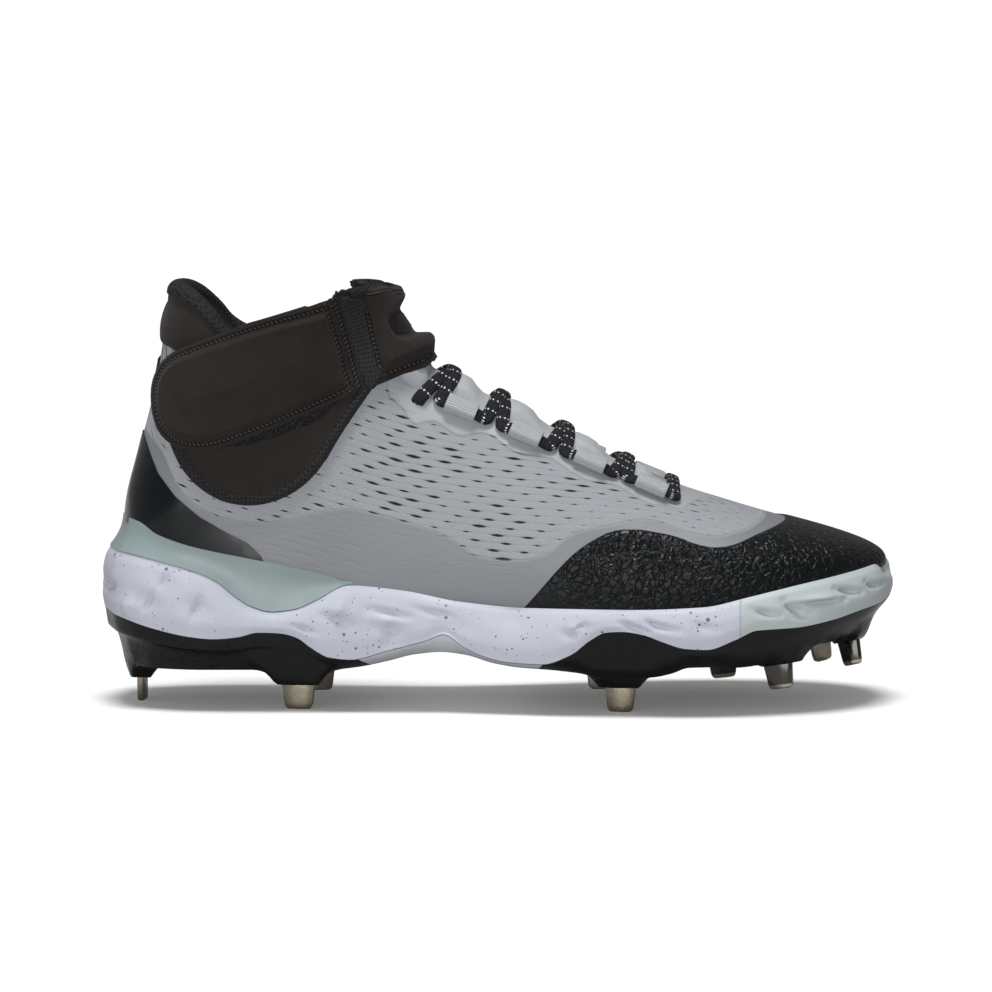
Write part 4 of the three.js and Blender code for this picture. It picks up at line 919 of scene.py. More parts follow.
def ankle_panel_piece(side, word):
    outline = np.concatenate([curve_through(PANEL_EDGE), curve_through(PANEL_TOP)[1:-1]])
    depth = lambda flat, u, turn: depth_inside(flat, outline)
    height = lambda flat, inside: GAP + PANEL_THICKNESS + 0.8 * MM * eased(inside, 4 * MM, 16 * MM)
    name = "ankle_panel_" + word + "_cloth"
    piece, inside, _ = overlay(name, (10.5, 21), side_turns(side), depth, height)
    trim(piece, inside)
    return thicken(piece, PANEL_THICKNESS)


def panel_binding_piece(side, word):
    edge = curve_through(PANEL_EDGE)
    outline = np.concatenate([edge, curve_through(PANEL_TOP)[1:-1]])

    def depth(flat, u, turn):
        away, _ = nearest(flat, edge)
        return np.minimum(PANEL_BINDING_WIDTH - away, depth_inside(flat, outline) + 0.4 * MM)

    height = lambda flat, inside: GAP + PANEL_THICKNESS + 0.3 * MM + 0.9 * MM * eased(inside, 0, 1.6 * MM)
    name = "panel_binding_" + word + "_knit"
    piece, inside, _ = overlay(name, (10.5, 21), side_turns(side), depth, height, 0.9 * MM)
    trim(piece, inside)
    return thicken(piece, PANEL_THICKNESS + 0.6 * MM)


STRAP_SEAT = GAP + PANEL_THICKNESS + PANEL_BINDING_RISE + GAP


def strap_piece(pad_rise):
    outline = curve_through(STRAP, closed=True)
    foot, top = places(STRAP_SEAM)
    up = unit(top - foot)
    back = np.array([-up[1], up[0]])

    def height(flat, inside):
        behind = (flat - foot) @ back
        pad = np.minimum(inside - 3.4 * MM, behind - STRAP_BAND)
        crown = 1.5 * MM * eased(pad, 1 * MM, 20 * MM)
        folds = sum(
            deep * MM * np.exp(-((nearest(flat, places(run))[0] / (wide * MM)) ** 2))
            for run, deep, wide in STRAP_FOLDS
        )
        rim = STRAP_RIM_THICKNESS - 0.6 * MM * (1 - eased(inside, 0, 1 * MM))
        return STRAP_SEAT + rim + pad_rise * eased(pad, -0.2 * MM, 1.8 * MM) ** 0.7 + crown - folds

    def depth(flat, u, turn):
        outer = -STRAP_END_Y + Y_SHIFT * BALL_WIDTH - last_points(u, turn)[:, 1]
        return np.minimum(depth_inside(flat, outline), outer)

    seat = STRAP_SEAT + 1 * MM
    piece, inside, flat = overlay("strap_pad", (11, 21.9), (-0.06, 0.49), depth, height, 1 * MM, seat)
    attach(piece, "behind", (flat - foot) @ back)
    attach(piece, "rise", (flat - foot) @ up)
    attach(piece, "run", nearest(flat, outline, closed=True)[1])
    trim(piece, inside)
    return thicken(piece, STRAP_RIM_THICKNESS)


def hook_tape_piece():
    outline = curve_through(HOOK_TAPE, closed=True)
    depth = lambda flat, u, turn: depth_inside(flat, outline)
    height = lambda flat, inside: GAP + PANEL_THICKNESS + 0.5 * MM + 0.8 * MM * eased(inside, 0, 1 * MM)
    piece, inside, _ = overlay("hook_tape", (11, 21), (0.05, 0.47), depth, height, 0.9 * MM)
    trim(piece, inside)
    return thicken(piece, 0.9 * MM)


def strap_link_piece():
    outline = places(STRAP_LINK)
    depth = lambda flat, u, turn: depth_inside(flat, outline) + 1.5 * MM
    height = lambda flat, inside: STRAP_SEAT + 0.4 * MM
    around = (0.15, 0.49)
    piece, inside, _ = overlay("strap_elastic", (11, 21.9), around, depth, height, 1 * MM, STRAP_SEAT)
    trim(piece, inside)
    return thicken(piece, 1 * MM)


def panel_drop(flat):
    """Distance under the tongue panel's top edge, as seen from the side."""
    return -above_line(flat, TONGUE_PANEL_TOP) - PANEL_TOP_DROP


def tongue_panel_piece(pad_rise):
    zone = places(TONGUE_PANEL)
    pad = curve_through(TONGUE_PAD, closed=True)

    def depth(flat, u, turn):
        return np.minimum(depth_inside(flat, zone), panel_drop(flat))

    def height(flat, inside):
        raised = depth_inside(flat, pad)
        rim = 1.9 * MM - 0.7 * MM * (1 - eased(inside, 0, 1.2 * MM))
        return GAP + 1.2 * MM + rim + pad_rise * eased(raised, -0.6 * MM, 3.2 * MM)

    seat = TONGUE_PANEL_THICKNESS
    ends = (10.3, 21.9)
    piece, inside, flat = overlay("tongue_panel_pad", ends, (0.25, 0.75), depth, height, 0.9 * MM, seat)
    attach(piece, "run", nearest(flat, zone, closed=True)[1])
    trim(piece, inside)
    return thicken(piece, 2.2 * MM)


def tongue_rear_tape_piece():
    zone = curve_through(REAR_TAPE, 3, closed=True)
    seam = places([REAR_TAPE[4], REAR_TAPE[3]])
    depth = lambda flat, u, turn: depth_inside(flat, zone)
    seat = TONGUE_PANEL_THICKNESS
    height = lambda flat, inside: seat + 0.4 * MM + 0.9 * MM * eased(inside, 0, 1.2 * MM)
    ends = (10.3, 21.95)
    piece, inside, flat = overlay("tongue_rear_tape", ends, (0.18, 0.5), depth, height, 0.8 * MM, seat)
    away, along = nearest(flat, seam)
    attach(piece, "seam", away)
    attach(piece, "run", along)
    trim(piece, inside)
    return thicken(piece, 2 * MM)


def tongue_top_tape_piece():
    zone = places(TONGUE_PANEL)
    seat = TONGUE_PANEL_THICKNESS

    def depth(flat, u, turn):
        down = panel_drop(flat)
        band = np.minimum(down + 0.8 * MM, 4.4 * MM - down)
        return np.minimum(band, depth_inside(flat, zone) + 0.5 * MM)

    def height(flat, inside):
        round_edge = np.sqrt(np.clip(1 - ((panel_drop(flat) - 1.8 * MM) / (2.8 * MM)) ** 2, 0, 1))
        return seat - 1 * MM + 2.2 * MM * round_edge

    ends = (15, 21.95)
    piece, inside, _ = overlay("tongue_top_tape", ends, (0.22, 0.78), depth, height, 0.7 * MM, seat)
    trim(piece, inside)
    return thicken(piece, 2.6 * MM)


def middle_patch(outline, width):
    """The depth inside a patch of a given width on the shoe's middle line."""
    def depth(flat, u, turn):
        across = width / 2 - np.abs(last_points(u, turn)[:, 1] - Y_SHIFT * BALL_WIDTH)
        return np.minimum(depth_inside(flat, outline), across)

    return depth


def tongue_label_piece():
    seat = TONGUE_PANEL_THICKNESS
    depth = middle_patch(places(LABEL), LABEL_WIDTH)
    height = lambda flat, inside: seat + 0.3 * MM + 0 * inside
    piece, inside, _ = overlay("label_patch", (13, 21), (0.3, 0.7), depth, height, 1 * MM, seat)
    trim(piece, inside)
    return thicken(piece, 0.6 * MM)


def heel_pull_piece():
    depth = middle_patch(places(HEEL_PULL), HEEL_PULL_WIDTH)
    height = lambda flat, inside: (HEEL_PULL_RISE - 1.8 * MM) * eased(inside, 0, 1.4 * MM)
    piece, inside, _ = overlay("heel_pull_loop", (15, 21), (-0.12, 0.12), depth, height, 0.6 * MM, 1 * MM)
    trim(piece, inside)
    return thicken(piece, 1 * MM)


def tongue_piece(hump_rise):
    piece, s, t = grid("tongue_cloth", 110, 44)
    u = 6.95 + (21.9 - 6.95) * s
    reach = 1.7 * smooth_table(THROAT, u)
    turn = 0.5 + (2 * t - 1) * reach
    flat = side_view(last_points(u, turn))
    raised = 1 - eased(from_middle(turn), smooth_table(THROAT, u) - 0.02, smooth_table(THROAT, u) - 0.008)
    low = -UPPER_WALL - GAP
    near = np.min(np.abs(u[:, None] - np.array(LACE_PLACES)), axis=1)
    swell = hump_rise * eased(near, 0.1, 0.42) - 1.3 * MM
    hump = swell * raised * eased(u, 13, 11.6) * eased(u, 6.9, 7.2)
    move_to(piece, skin(u, turn, low + (-GAP - low) * raised + hump))
    attach(piece, "skin", unrolled(u, turn))
    attach(piece, "cuff", eased(u, 12.5, 12.7) + 0 * turn)
    trim(piece, -above_line(flat, TONGUE_TOP))
    return thicken(piece, TONGUE_THICKNESS)


def insole_piece():
    piece, u, turn = skin_patch("insole_board", (3.6, 14.3), (-0.13, 0.13), 2.5 * MM)
    move_to(piece, skin(u, turn, -UPPER_WALL - GAP - INSOLE_THICKNESS))
    edit(piece, lambda mesh: bmesh.ops.reverse_faces(mesh, faces=mesh.faces))
    return thicken(piece, INSOLE_THICKNESS)


# The collar: columns round the ankle, each with a profile that rolls over the top edge

def where_crosses(turns, pairs, low=10.5, high=21.95):
    """The place along the last where each column rises past a line of the side view."""
    u = np.linspace(low, high, 300)
    points = side_view(last_points(u[:, None], turns[None, :]))
    over = above_line(points.reshape(-1, 2), pairs).reshape(points.shape[:2])
    found = []
    for column in over.T:
        rises = np.nonzero((column[:-1] < 0) & (column[1:] >= 0))[0]
        i = rises[-1] if len(rises) else (0 if column[0] > 0 else len(u) - 2)
        share = np.clip(-column[i] / (column[i + 1] - column[i]), 0, 1)
        found.append(u[i] + share * (u[1] - u[0]))
    return np.array(found)


def collar_profile(name, profile, columns=150):
    """A closed profile of places and offsets, swept round the collar."""
    turns = np.linspace(-COLLAR_REACH, COLLAR_REACH, columns + 1)
    wrapped = np.mod(turns, 1)
    top = where_crosses(wrapped, LINING_TOP)
    rows = [skin(spot, wrapped, offset) for spot, offset in profile(wrapped, top)]
    piece, _, _ = loft(name, rows + rows[:1], closed=False)
    weld(piece)
    edit(piece, lambda mesh: bmesh.ops.holes_fill(mesh, edges=mesh.edges, sides=0))
    face_out(piece)
    return piece


def collar_lining_piece():
    outside, inside = -UPPER_WALL - GAP, -UPPER_WALL - GAP - LINING_WALL
    radius = -inside / 2

    def profile(turns, top):
        low = where_crosses(turns, UPPER_TOP) - 0.1
        foot = where_crosses(turns, LINING_FOOT)
        crown = top - (radius + 0.6 * MM) / PER_ROW
        yield foot, outside
        yield low, outside
        for share in np.linspace(0, 1, 20):
            start = outside * (1 - min(share / 0.16, 1)) ** 2
            puff = 1.9 * MM * math.sin(math.pi * min(share * 1.2, 1)) ** 0.7
            yield low + (crown - low) * share, start + puff
        for angle in np.linspace(0, math.pi, 10)[1:-1]:
            rise = radius * math.sin(angle)
            yield crown + rise / PER_ROW, -radius + radius * math.cos(angle)
        for share in np.linspace(0, 1, 24):
            puff = 1.2 * MM * math.sin(math.pi * share) ** 0.5
            yield crown + (foot - crown) * share, inside - puff

    return collar_profile("collar_padding", profile)


def collar_binding_piece():
    inside = -UPPER_WALL - GAP - LINING_WALL - COLLAR_BINDING_RISE
    radius = (COLLAR_BINDING_RISE - inside) / 2
    middle = (COLLAR_BINDING_RISE + inside) / 2

    def profile(turns, top):
        low = top - COLLAR_BINDING_WIDTH / PER_ROW
        crown = top - radius / PER_ROW
        yield low, COLLAR_BINDING_RISE - 0.5 * MM
        yield low, COLLAR_BINDING_RISE - 0.1 * MM
        for angle in np.linspace(0, math.pi, 22):
            rise = radius * math.sin(angle)
            yield crown + rise / PER_ROW, middle + radius * math.cos(angle)
        yield low, inside + 0.1 * MM
        yield low, inside + 0.5 * MM
        for angle in np.linspace(math.pi, 0, 14):
            rise = (radius - 1.2 * MM) * math.sin(angle)
            yield crown + rise / PER_ROW, middle + (radius - 0.8 * MM) * math.cos(angle)

    return collar_profile("collar_binding_knit", profile)


# Lace loops and laces

def slot_ring(width, height, count):
    """Points round a flat tube's section."""
    half = (width - height) / 2
    angle = 2 * np.pi * np.arange(count) / count
    across = half * np.clip(1.35 * np.cos(angle), -1, 1) + height / 2 * powered(np.cos(angle), 1.2)
    rise = height / 2 * powered(np.sin(angle), 0.8)
    return np.column_stack([across, rise])


def loop_frame(u, turn):
    """A loop's middle, and its directions along the shoe, across it and out of the skin."""
    out = last_normals(u, turn)
    run = unit(last_points(u - 0.1, turn) - last_points(u + 0.1, turn))
    across = unit(np.cross(out, run))
    return skin(u, turn, GAP + LOOP_LIFT + LACE_THICKNESS / 2 + GAP + LOOP_WALL), run, across, out


def lace_loop_piece(name, u, turn):
    centre, run, across, out = loop_frame(u, turn)
    bore = [LACE_WIDTH + 2 * GAP, LACE_THICKNESS + 2 * GAP]
    outer = [bore[0] + 2 * LOOP_WALL, bore[1] + 2 * LOOP_WALL]
    half = LOOP_LENGTH / 2
    rows = [[-half + 0.2 * MM, bore, 0], [-half, outer, 0.5], [-half + 0.5 * MM, outer, 0]]
    rows += [[at, outer, 0] for at in np.linspace(-half + 1 * MM, half - 1 * MM, 20)]
    rows += [[half - 0.5 * MM, outer, 0], [half, outer, 0.5], [half - 0.2 * MM, bore, 0]]
    rows += [[at, bore, 0] for at in np.linspace(half - 1 * MM, -half + 1 * MM, 6)]
    rings = []
    for at, size, shrink in rows:
        section = slot_ring(size[0] - shrink * MM, size[1] - shrink * MM, LOOP_SIDES)
        rings.append(centre + run * at + section[:, :1] * across + section[:, 1:] * out)
    rings.append(rings[0])
    piece, i, j = loft(name, rings)
    lengths = np.array([row[0] for row in rows] + [rows[0][0]])
    attach(piece, "lace", np.column_stack([lengths[i], j / LOOP_SIDES]))
    weld(piece)
    return piece


def loop_mouth(loop, side, towards_ankle):
    """Where the lace turns out of a loop, as a place along the last and a turn."""
    u, reach = loop
    turn = 0.5 + side * reach
    step = 0.2
    per_row = np.linalg.norm(last_points(u + step, turn) - last_points(u - step, turn)) / (2 * step)
    away = (LOOP_LENGTH / 2 + LACE_WIDTH / 2 + LOOP_MOUTH_ROOM) / per_row
    return np.array([u + (away if towards_ankle else -away), turn])


def lace_strand(side, sink):
    """Places, turns and lifts of the lace from one eyelet down to the last loop's front mouth."""
    bore_lift = GAP + LOOP_LIFT + LACE_THICKNESS / 2 + GAP + LOOP_WALL
    end_lift = LACE_THICKNESS / 2 + LACE_CLEARANCE
    here = np.array([EYELET[0], 0.5 + side * EYELET[1]])
    run = [[*(here + [0.04, side * 0.008]), -3.4 * MM], [*(here + [0.02, side * 0.004]), -1.2 * MM]]
    for i, loop in enumerate(LACE_LOOPS):
        side = -side
        there = loop_mouth(loop, side, True)
        over = 1 if (side < 0) == (i % 2 == 0) else -1
        for t in np.linspace(0, 1, 15):
            spot = here + (there - here) * t
            bow = (CROSSING_BOW if i else TOP_CROSSING_BOW) * 4 * t * (1 - t)
            weave = (over * 1.05 * MM - sink) * math.exp(-(((t - 0.5) / 0.14) ** 2))
            lift = LACE_THICKNESS / 2 + LACE_ARCH * math.sin(math.pi * t) + weave
            run.append([spot[0] + bow, spot[1], lift])
        beyond = loop_mouth(loop, side, False)
        for t in (0.3, 0.5, 0.7):
            run.append([*(there + (beyond - there) * t), bore_lift])
        here = beyond
    run.append([*here, end_lift])
    return run


def lace_ribbon(name, run):
    """A flat lace along a run of places, turns and lifts."""
    run = np.array(run)
    points = skin(run[:, 0], run[:, 1], run[:, 2])
    lengths = np.concatenate([[0], np.cumsum(np.linalg.norm(np.diff(points, axis=0), axis=1))])
    even = np.linspace(0, lengths[-1], int(lengths[-1] / (0.7 * MM)))
    evened = lambda values: np.column_stack([np.interp(even, lengths, column) for column in values.T])
    smooth = evened(points)
    out = unit(evened(last_normals(run[:, 0], run[:, 1])))
    for _ in range(4):
        smooth[1:-1] = (smooth[:-2] + 2 * smooth[1:-1] + smooth[2:]) / 4
    ahead = unit(np.gradient(smooth, axis=0))
    wide = unit(np.cross(out, ahead))
    thick = np.cross(ahead, wide)
    angle = 2 * np.pi * np.arange(LACE_SIDES) / LACE_SIDES
    across, rise = powered(np.cos(angle), 0.75), powered(np.sin(angle), 0.8)
    rings = (
        smooth[:, None]
        + wide[:, None] * (LACE_WIDTH / 2 * across)[None, :, None]
        + thick[:, None] * (LACE_THICKNESS / 2 * rise)[None, :, None]
    )
    piece, i, j = loft(name, rings)
    attach(piece, "lace", np.column_stack([even[i], np.mod(j, LACE_SIDES) / LACE_SIDES]))
    weld(piece)
    return piece


def laces_piece(sink):
    """The whole lace: down from one top eyelet, across as the bar, and up to the other."""
    left, right = lace_strand(-1, sink), lace_strand(1, sink)
    a, b = left[-1], right[-1]
    bar = []
    for t in np.linspace(0, 1, 15)[1:-1]:
        spot = [a[0] + (b[0] - a[0]) * t, a[1] + (b[1] - a[1]) * t]
        bar.append([*spot, LACE_THICKNESS / 2 + LACE_ARCH * math.sin(math.pi * t)])
    return lace_ribbon("laces", left + bar + right[::-1])


# Shading: a small builder for node trees, the effects that materials share, and the materials

class Graph:
    """Adds nodes to a shader tree. Each call gives the socket to read from."""

    def __init__(self, tree):
        self.tree = tree

    def feed(self, socket, value):
        if isinstance(value, bpy.types.NodeSocket):
            self.tree.links.new(value, socket)
        else:
            socket.default_value = value

    def node(self, kind, inputs, output=0, **settings):
        node = self.tree.nodes.new("ShaderNode" + kind)
        for name, value in settings.items():
            setattr(node, name, value)
        for name, value in inputs.items():
            self.feed(node.inputs[name], value)
        return node.outputs[output]

    def math(self, operation, *values):
        return self.node("Math", dict(enumerate(values)), operation=operation)

    def total(self, first, *others):
        for other in others:
            first = self.math("ADD", first, other)
        return first

    def product(self, first, *others):
        for other in others:
            first = self.math("MULTIPLY", first, other)
        return first

    def apart(self, first, second):
        return self.math("ABSOLUTE", self.math("SUBTRACT", first, second))

    def from_middle(self, steps):
        """Distance from the middle of the step that a value falls in."""
        return self.apart(self.math("FRACT", steps), 0.5)

    def ease(self, value, low, high, start=0.0, end=1.0):
        inputs = {"Value": value, "From Min": low, "From Max": high, "To Min": start, "To Max": end}
        return self.node("MapRange", inputs, interpolation_type="SMOOTHSTEP")

    def mix(self, share, first, second):
        return self.node("Mix", {0: share, 6: first, 7: second}, 2, data_type="RGBA")

    def parts(self, vector):
        node = self.tree.nodes.new("ShaderNodeSeparateXYZ")
        self.feed(node.inputs[0], vector)
        return node.outputs[0], node.outputs[1], node.outputs[2]

    def vector(self, x, y, z=0.0):
        return self.node("CombineXYZ", {"X": x, "Y": y, "Z": z})

    def scaled(self, place, factor):
        return self.node("VectorMath", {0: place, "Scale": factor}, operation="SCALE")

    def noise(self, place, size, detail=2.0, roughness=0.5):
        inputs = {"Vector": place, "Scale": 1 / size, "Detail": detail, "Roughness": roughness}
        return self.node("TexNoise", inputs)

    def cells(self, place, size, output=0, **settings):
        return self.node("TexVoronoi", {"Vector": place, "Scale": 1 / size}, output, **settings)

    def chance(self, place):
        return self.node("TexWhiteNoise", {"Vector": place})

    def kept(self, name, output="Fac"):
        return self.node("Attribute", {}, output, attribute_name=name)

    def here(self):
        return self.node("TexCoord", {}, "Object")

    def bump(self, height, distance, normal=None):
        inputs = {"Height": height, "Distance": distance}
        if normal is not None:
            inputs["Normal"] = normal
        return self.node("Bump", inputs)

    def use(self, effect, **inputs):
        node = self.tree.nodes.new("ShaderNodeGroup")
        node.node_tree = bpy.data.node_groups[effect]
        for name, value in inputs.items():
            self.feed(node.inputs[name], value)
        return node.outputs


def shared_effect(name, inputs, outputs, build):
    """A node group that several materials may use. build gives its outputs by name."""
    tree = bpy.data.node_groups.new(name, "ShaderNodeTree")
    for label in inputs:
        kind = "NodeSocketVector" if label == "Place" else "NodeSocketFloat"
        tree.interface.new_socket(label, in_out="INPUT", socket_type=kind)
    for label in outputs:
        tree.interface.new_socket(label, in_out="OUTPUT", socket_type="NodeSocketFloat")
    start = tree.nodes.new("NodeGroupInput")
    end = tree.nodes.new("NodeGroupOutput")
    for label, value in build(Graph(tree), start.outputs).items():
        tree.links.new(value, end.inputs[label])


def mesh_knit(graph, given):
    """Rows that fall towards the toe, with a groove and a line of slots along each."""
    x, z, _ = graph.parts(graph.scaled(given["Place"], 1 / MM))
    wander = graph.product(graph.math("SUBTRACT", graph.noise(given["Place"], 22 * MM), 0.5), 1.6)
    row_place = graph.product(graph.total(z, graph.product(x, KNIT_SLOPE), wander), 1 / KNIT_ROW)
    row = graph.math("FLOOR", row_place)
    across = graph.from_middle(row_place)
    drift = graph.product(graph.chance(graph.vector(row, 7.0)), 0.35)
    shift = graph.total(graph.product(row, 0.5), drift)
    slot_place = graph.total(graph.product(x, 1 / KNIT_SLOT_PITCH), shift)
    slot = graph.math("FLOOR", slot_place)
    along = graph.from_middle(slot_place)
    luck = graph.chance(graph.vector(row, slot))
    region = graph.ease(graph.noise(given["Place"], 30 * MM, 1.0), 0.36, 0.6, 0.45, 1.0)
    size = graph.product(graph.total(graph.product(luck, 0.5), 0.62), region, given["Open"])
    size = graph.math("MAXIMUM", size, 0.05)
    reach = graph.product(along, graph.math("DIVIDE", KNIT_SLOT_PITCH / KNIT_SLOT_HALF, size))
    height = graph.product(across, graph.math("DIVIDE", KNIT_ROW / KNIT_SLOT_RISE, size))
    lens = graph.total(reach, graph.product(height, height))
    hole = graph.ease(lens, 1.15, 0.8)
    halo = graph.ease(lens, 2.4, 0.9)
    broken = graph.ease(graph.noise(graph.vector(graph.product(x, 0.16), row), 1.0, 1.0), 0.35, 0.6)
    groove = graph.product(graph.ease(across, 0.075, 0.02), broken)
    sloped = graph.total(z, graph.product(x, KNIT_SLOPE))
    stitch_x = graph.math("SINE", graph.product(x, 2 * math.pi / KNIT_STITCH_WIDTH))
    stitch_z = graph.math("SINE", graph.product(sloped, 2 * math.pi / KNIT_STITCH_HEIGHT))
    stipple = graph.total(graph.product(stitch_x, stitch_z, 0.5), 0.5)
    pillow = graph.ease(across, 0.0, 0.3)
    relief = graph.total(
        graph.product(pillow, 0.22), graph.product(stipple, 0.6),
        graph.product(groove, -0.14), graph.product(halo, -0.3), graph.product(hole, -1.2),
    )
    return {"Hole": hole, "Halo": halo, "Groove": groove, "Stipple": stipple, "Relief": relief}


def jersey_cloth(graph, given):
    """The fine nap of knitted cloth over foam."""
    fine = graph.noise(given["Place"], 0.35 * MM, 2.0, 0.6)
    soft = graph.noise(given["Place"], 9 * MM, 2.0)
    return {"Fine": fine, "Soft": soft}


def rope_stitches(graph, given):
    """Short slanted stitches along a line at a set distance from an edge."""
    off = graph.apart(given["Edge"], given["Inset"])
    line = graph.ease(off, 0.55 * MM, 0.4 * MM)
    slant = graph.total(given["Run"], graph.product(given["Edge"], 0.7))
    dash = graph.ease(graph.from_middle(graph.product(slant, 1 / STITCH_PITCH)), 0.32, 0.24)
    # Trough marks the band round the stitches, which sewn cloth darkens as painted shade
    trough = graph.ease(off, 1.0 * MM, 0.5 * MM)
    return {"Thread": graph.product(line, dash), "Trough": trough}


def knitted_tape(graph, given):
    """The raised diamond weave of a knitted edge tape."""
    x, y, z = graph.parts(graph.scaled(given["Place"], 2 * math.pi / TAPE_PITCH))
    first = graph.math("SINE", graph.total(x, z))
    second = graph.math("SINE", graph.total(graph.math("SUBTRACT", x, z), y))
    loops = graph.total(graph.product(first, second, 0.5), 0.5)
    nap = graph.noise(given["Place"], 0.4 * MM)
    # Hollow marks the weave's low places, which the materials darken as painted shade
    return {"Relief": graph.total(loops, nap), "Hollow": graph.ease(graph.total(loops, nap), 0.9, 0.55)}


def pebbled_film(graph, given):
    """Raised wandering pebbles with cracks between them and wrinkles on them."""
    push = graph.node("TexNoise", {"Vector": given["Place"], "Scale": 1 / (4 * MM), "Detail": 1.0}, "Color")
    bent = graph.node("VectorMath", {0: push, 1: (-0.5, -0.5, -0.5)}, operation="ADD")
    place = graph.node("VectorMath", {0: given["Place"], 1: graph.scaled(bent, 4.5 * MM)}, operation="ADD")
    crack = graph.cells(place, 3.4 * MM, feature="DISTANCE_TO_EDGE")
    winding = graph.apart(graph.noise(given["Place"], 4.5 * MM, 0.0), 0.5)
    pebble = graph.ease(crack, 0.0, 0.22)
    wrinkle = graph.ease(winding, 0.0, 0.06)
    relief = graph.total(graph.product(pebble, 0.9), graph.product(wrinkle, 0.35))
    # Crack marks the cracks between the pebbles, which the toe's film darkens as painted shade
    return {"Relief": relief, "Crack": graph.ease(crack, 0.05, 0.0)}


# The foam's specks: the spacing of their cells, their least and greatest radius as shares of it,
# and how far their pattern is moved, so that the layers differ
SPECKS = [[3.1 * MM, 0.05, 0.14, 0.0], [5.4 * MM, 0.03, 0.12, 3.0], [1.9 * MM, 0.06, 0.14, 7.0]]


def foam_specks(graph, given):
    """Dark specks of many sizes, in loose drifts."""
    drift = graph.ease(graph.noise(given["Place"], 16 * MM, 2.0), 0.36, 0.6, 0.5, 1.3)
    specks = None
    for size, least, most, odd in SPECKS:
        place = graph.node("VectorMath", {0: given["Place"], 1: (odd, odd, odd)}, operation="ADD")
        reach = graph.cells(place, size)
        luck, _, _ = graph.parts(graph.cells(place, size, "Color"))
        radius = graph.product(graph.ease(luck, 0.25, 1.0, least, most), drift)
        speck = graph.ease(graph.math("SUBTRACT", reach, radius), 0.03, -0.02)
        speck = graph.product(speck, graph.ease(luck, 0.4, 0.42))
        specks = speck if specks is None else graph.math("MAXIMUM", specks, speck)
    return {"Speck": specks}


# The shared effects: inputs of each, its outputs and what builds it. All are numbers but Place.
EFFECTS = {
    "mesh knit": (["Place", "Open"], ["Hole", "Halo", "Groove", "Stipple", "Relief"], mesh_knit),
    "jersey cloth": (["Place"], ["Fine", "Soft"], jersey_cloth),
    "rope stitches": (["Edge", "Run", "Inset"], ["Thread", "Trough"], rope_stitches),
    "knitted tape": (["Place"], ["Relief", "Hollow"], knitted_tape),
    "pebbled film": (["Place"], ["Relief", "Crack"], pebbled_film),
    "foam specks": (["Place"], ["Speck"], foam_specks),
}


def srgb(red, green, blue):
    """A colour as the eye reads it, 0 to 255, turned to the shader's own scale."""
    return tuple(((value / 255 + 0.055) / 1.055) ** 2.4 for value in (red, green, blue))


def shade(colour, factor):
    return tuple(value * factor for value in colour[:3]) + (1,)


# Near-black painted shade for the knit's slots, which are not cut: it stands for the shade inside them
HOLE_SHADE_COLOUR = (0.006, 0.006, 0.007, 1)
# Black painted shade for the tread's small holes, which are not cut: it stands for the shade inside them
PIT_SHADE_COLOUR = (0.001, 0.001, 0.001, 1)


def knit_look(graph, colour):
    """Open knit with lines of slots, under smooth film at its foot and beside the throat."""
    skin_place = graph.kept("skin", "Vector")
    film = graph.math("MAXIMUM", graph.kept("film"), graph.kept("eyestay"))
    smooth = graph.ease(film, 0.0, 0.9 * MM)
    ankle = graph.ease(graph.kept("ankle"), 3 * MM, 16 * MM, 0.5, 1.0)
    toe = graph.ease(graph.kept("toe"), 0.0, 20 * MM, 0.15, 1.0)
    back = graph.ease(graph.parts(graph.here())[0], -135 * MM, -122 * MM)
    knit = graph.use("mesh knit", Place=skin_place, Open=graph.product(ankle, toe, back))
    open_knit = graph.math("SUBTRACT", 1.0, smooth)
    line = graph.ease(graph.math("ABSOLUTE", film), 0.45 * MM, 0.1 * MM)
    ghost = graph.product(knit["Halo"], smooth, 0.4)
    light, dark = shade(colour, 1.06), shade(colour, 0.72)
    base = graph.mix(graph.product(knit["Stipple"], open_knit, 0.5), light, dark)
    # Painted shade: the grooves along the rows and the dips round the slots are darkened
    base = graph.mix(graph.product(knit["Groove"], open_knit, 0.2), base, shade(colour, 0.3))
    base = graph.mix(graph.product(knit["Halo"], open_knit, 0.35), base, shade(colour, 0.45))
    # The slots get painted shade: near-black for the dark inside them
    base = graph.mix(graph.product(knit["Hole"], open_knit), base, HOLE_SHADE_COLOUR)
    upper_film = graph.ease(graph.kept("eyestay"), 0.0, 0.9 * MM)
    # The film at the foot is darker than beside the throat: painted shade for the low side
    base = graph.mix(smooth, base, graph.mix(upper_film, tint("foot_film"), tint("eyestay")))
    # Painted shade of the dips round the slots, showing faintly through the smooth film
    base = graph.mix(graph.product(ghost, 0.5), base, shade(colour, 0.6))
    base = graph.mix(graph.product(line, 0.28), base, shade(colour, 0.35))
    relief = graph.total(
        graph.product(knit["Relief"], open_knit), graph.product(ghost, -0.35), graph.product(smooth, 0.5),
    )
    roughness = graph.ease(smooth, 0.0, 1.0, 0.85, 0.5)
    return {"Base Color": base, "Normal": graph.bump(relief, 0.5 * MM), "Roughness": roughness}


def tongue_look(graph, colour):
    place = graph.kept("skin", "Vector")
    fine = graph.noise(place, 0.6 * MM)
    weave = graph.use("mesh knit", Place=place, Open=0.0)["Stipple"]
    relief = graph.total(graph.product(weave, 0.5), graph.product(fine, 0.5))
    base = graph.mix(graph.product(weave, 0.25), colour, shade(colour, 0.8))
    base = graph.mix(graph.kept("cuff"), base, tint("cloth"))
    return {"Base Color": base, "Normal": graph.bump(relief, 0.25 * MM)}


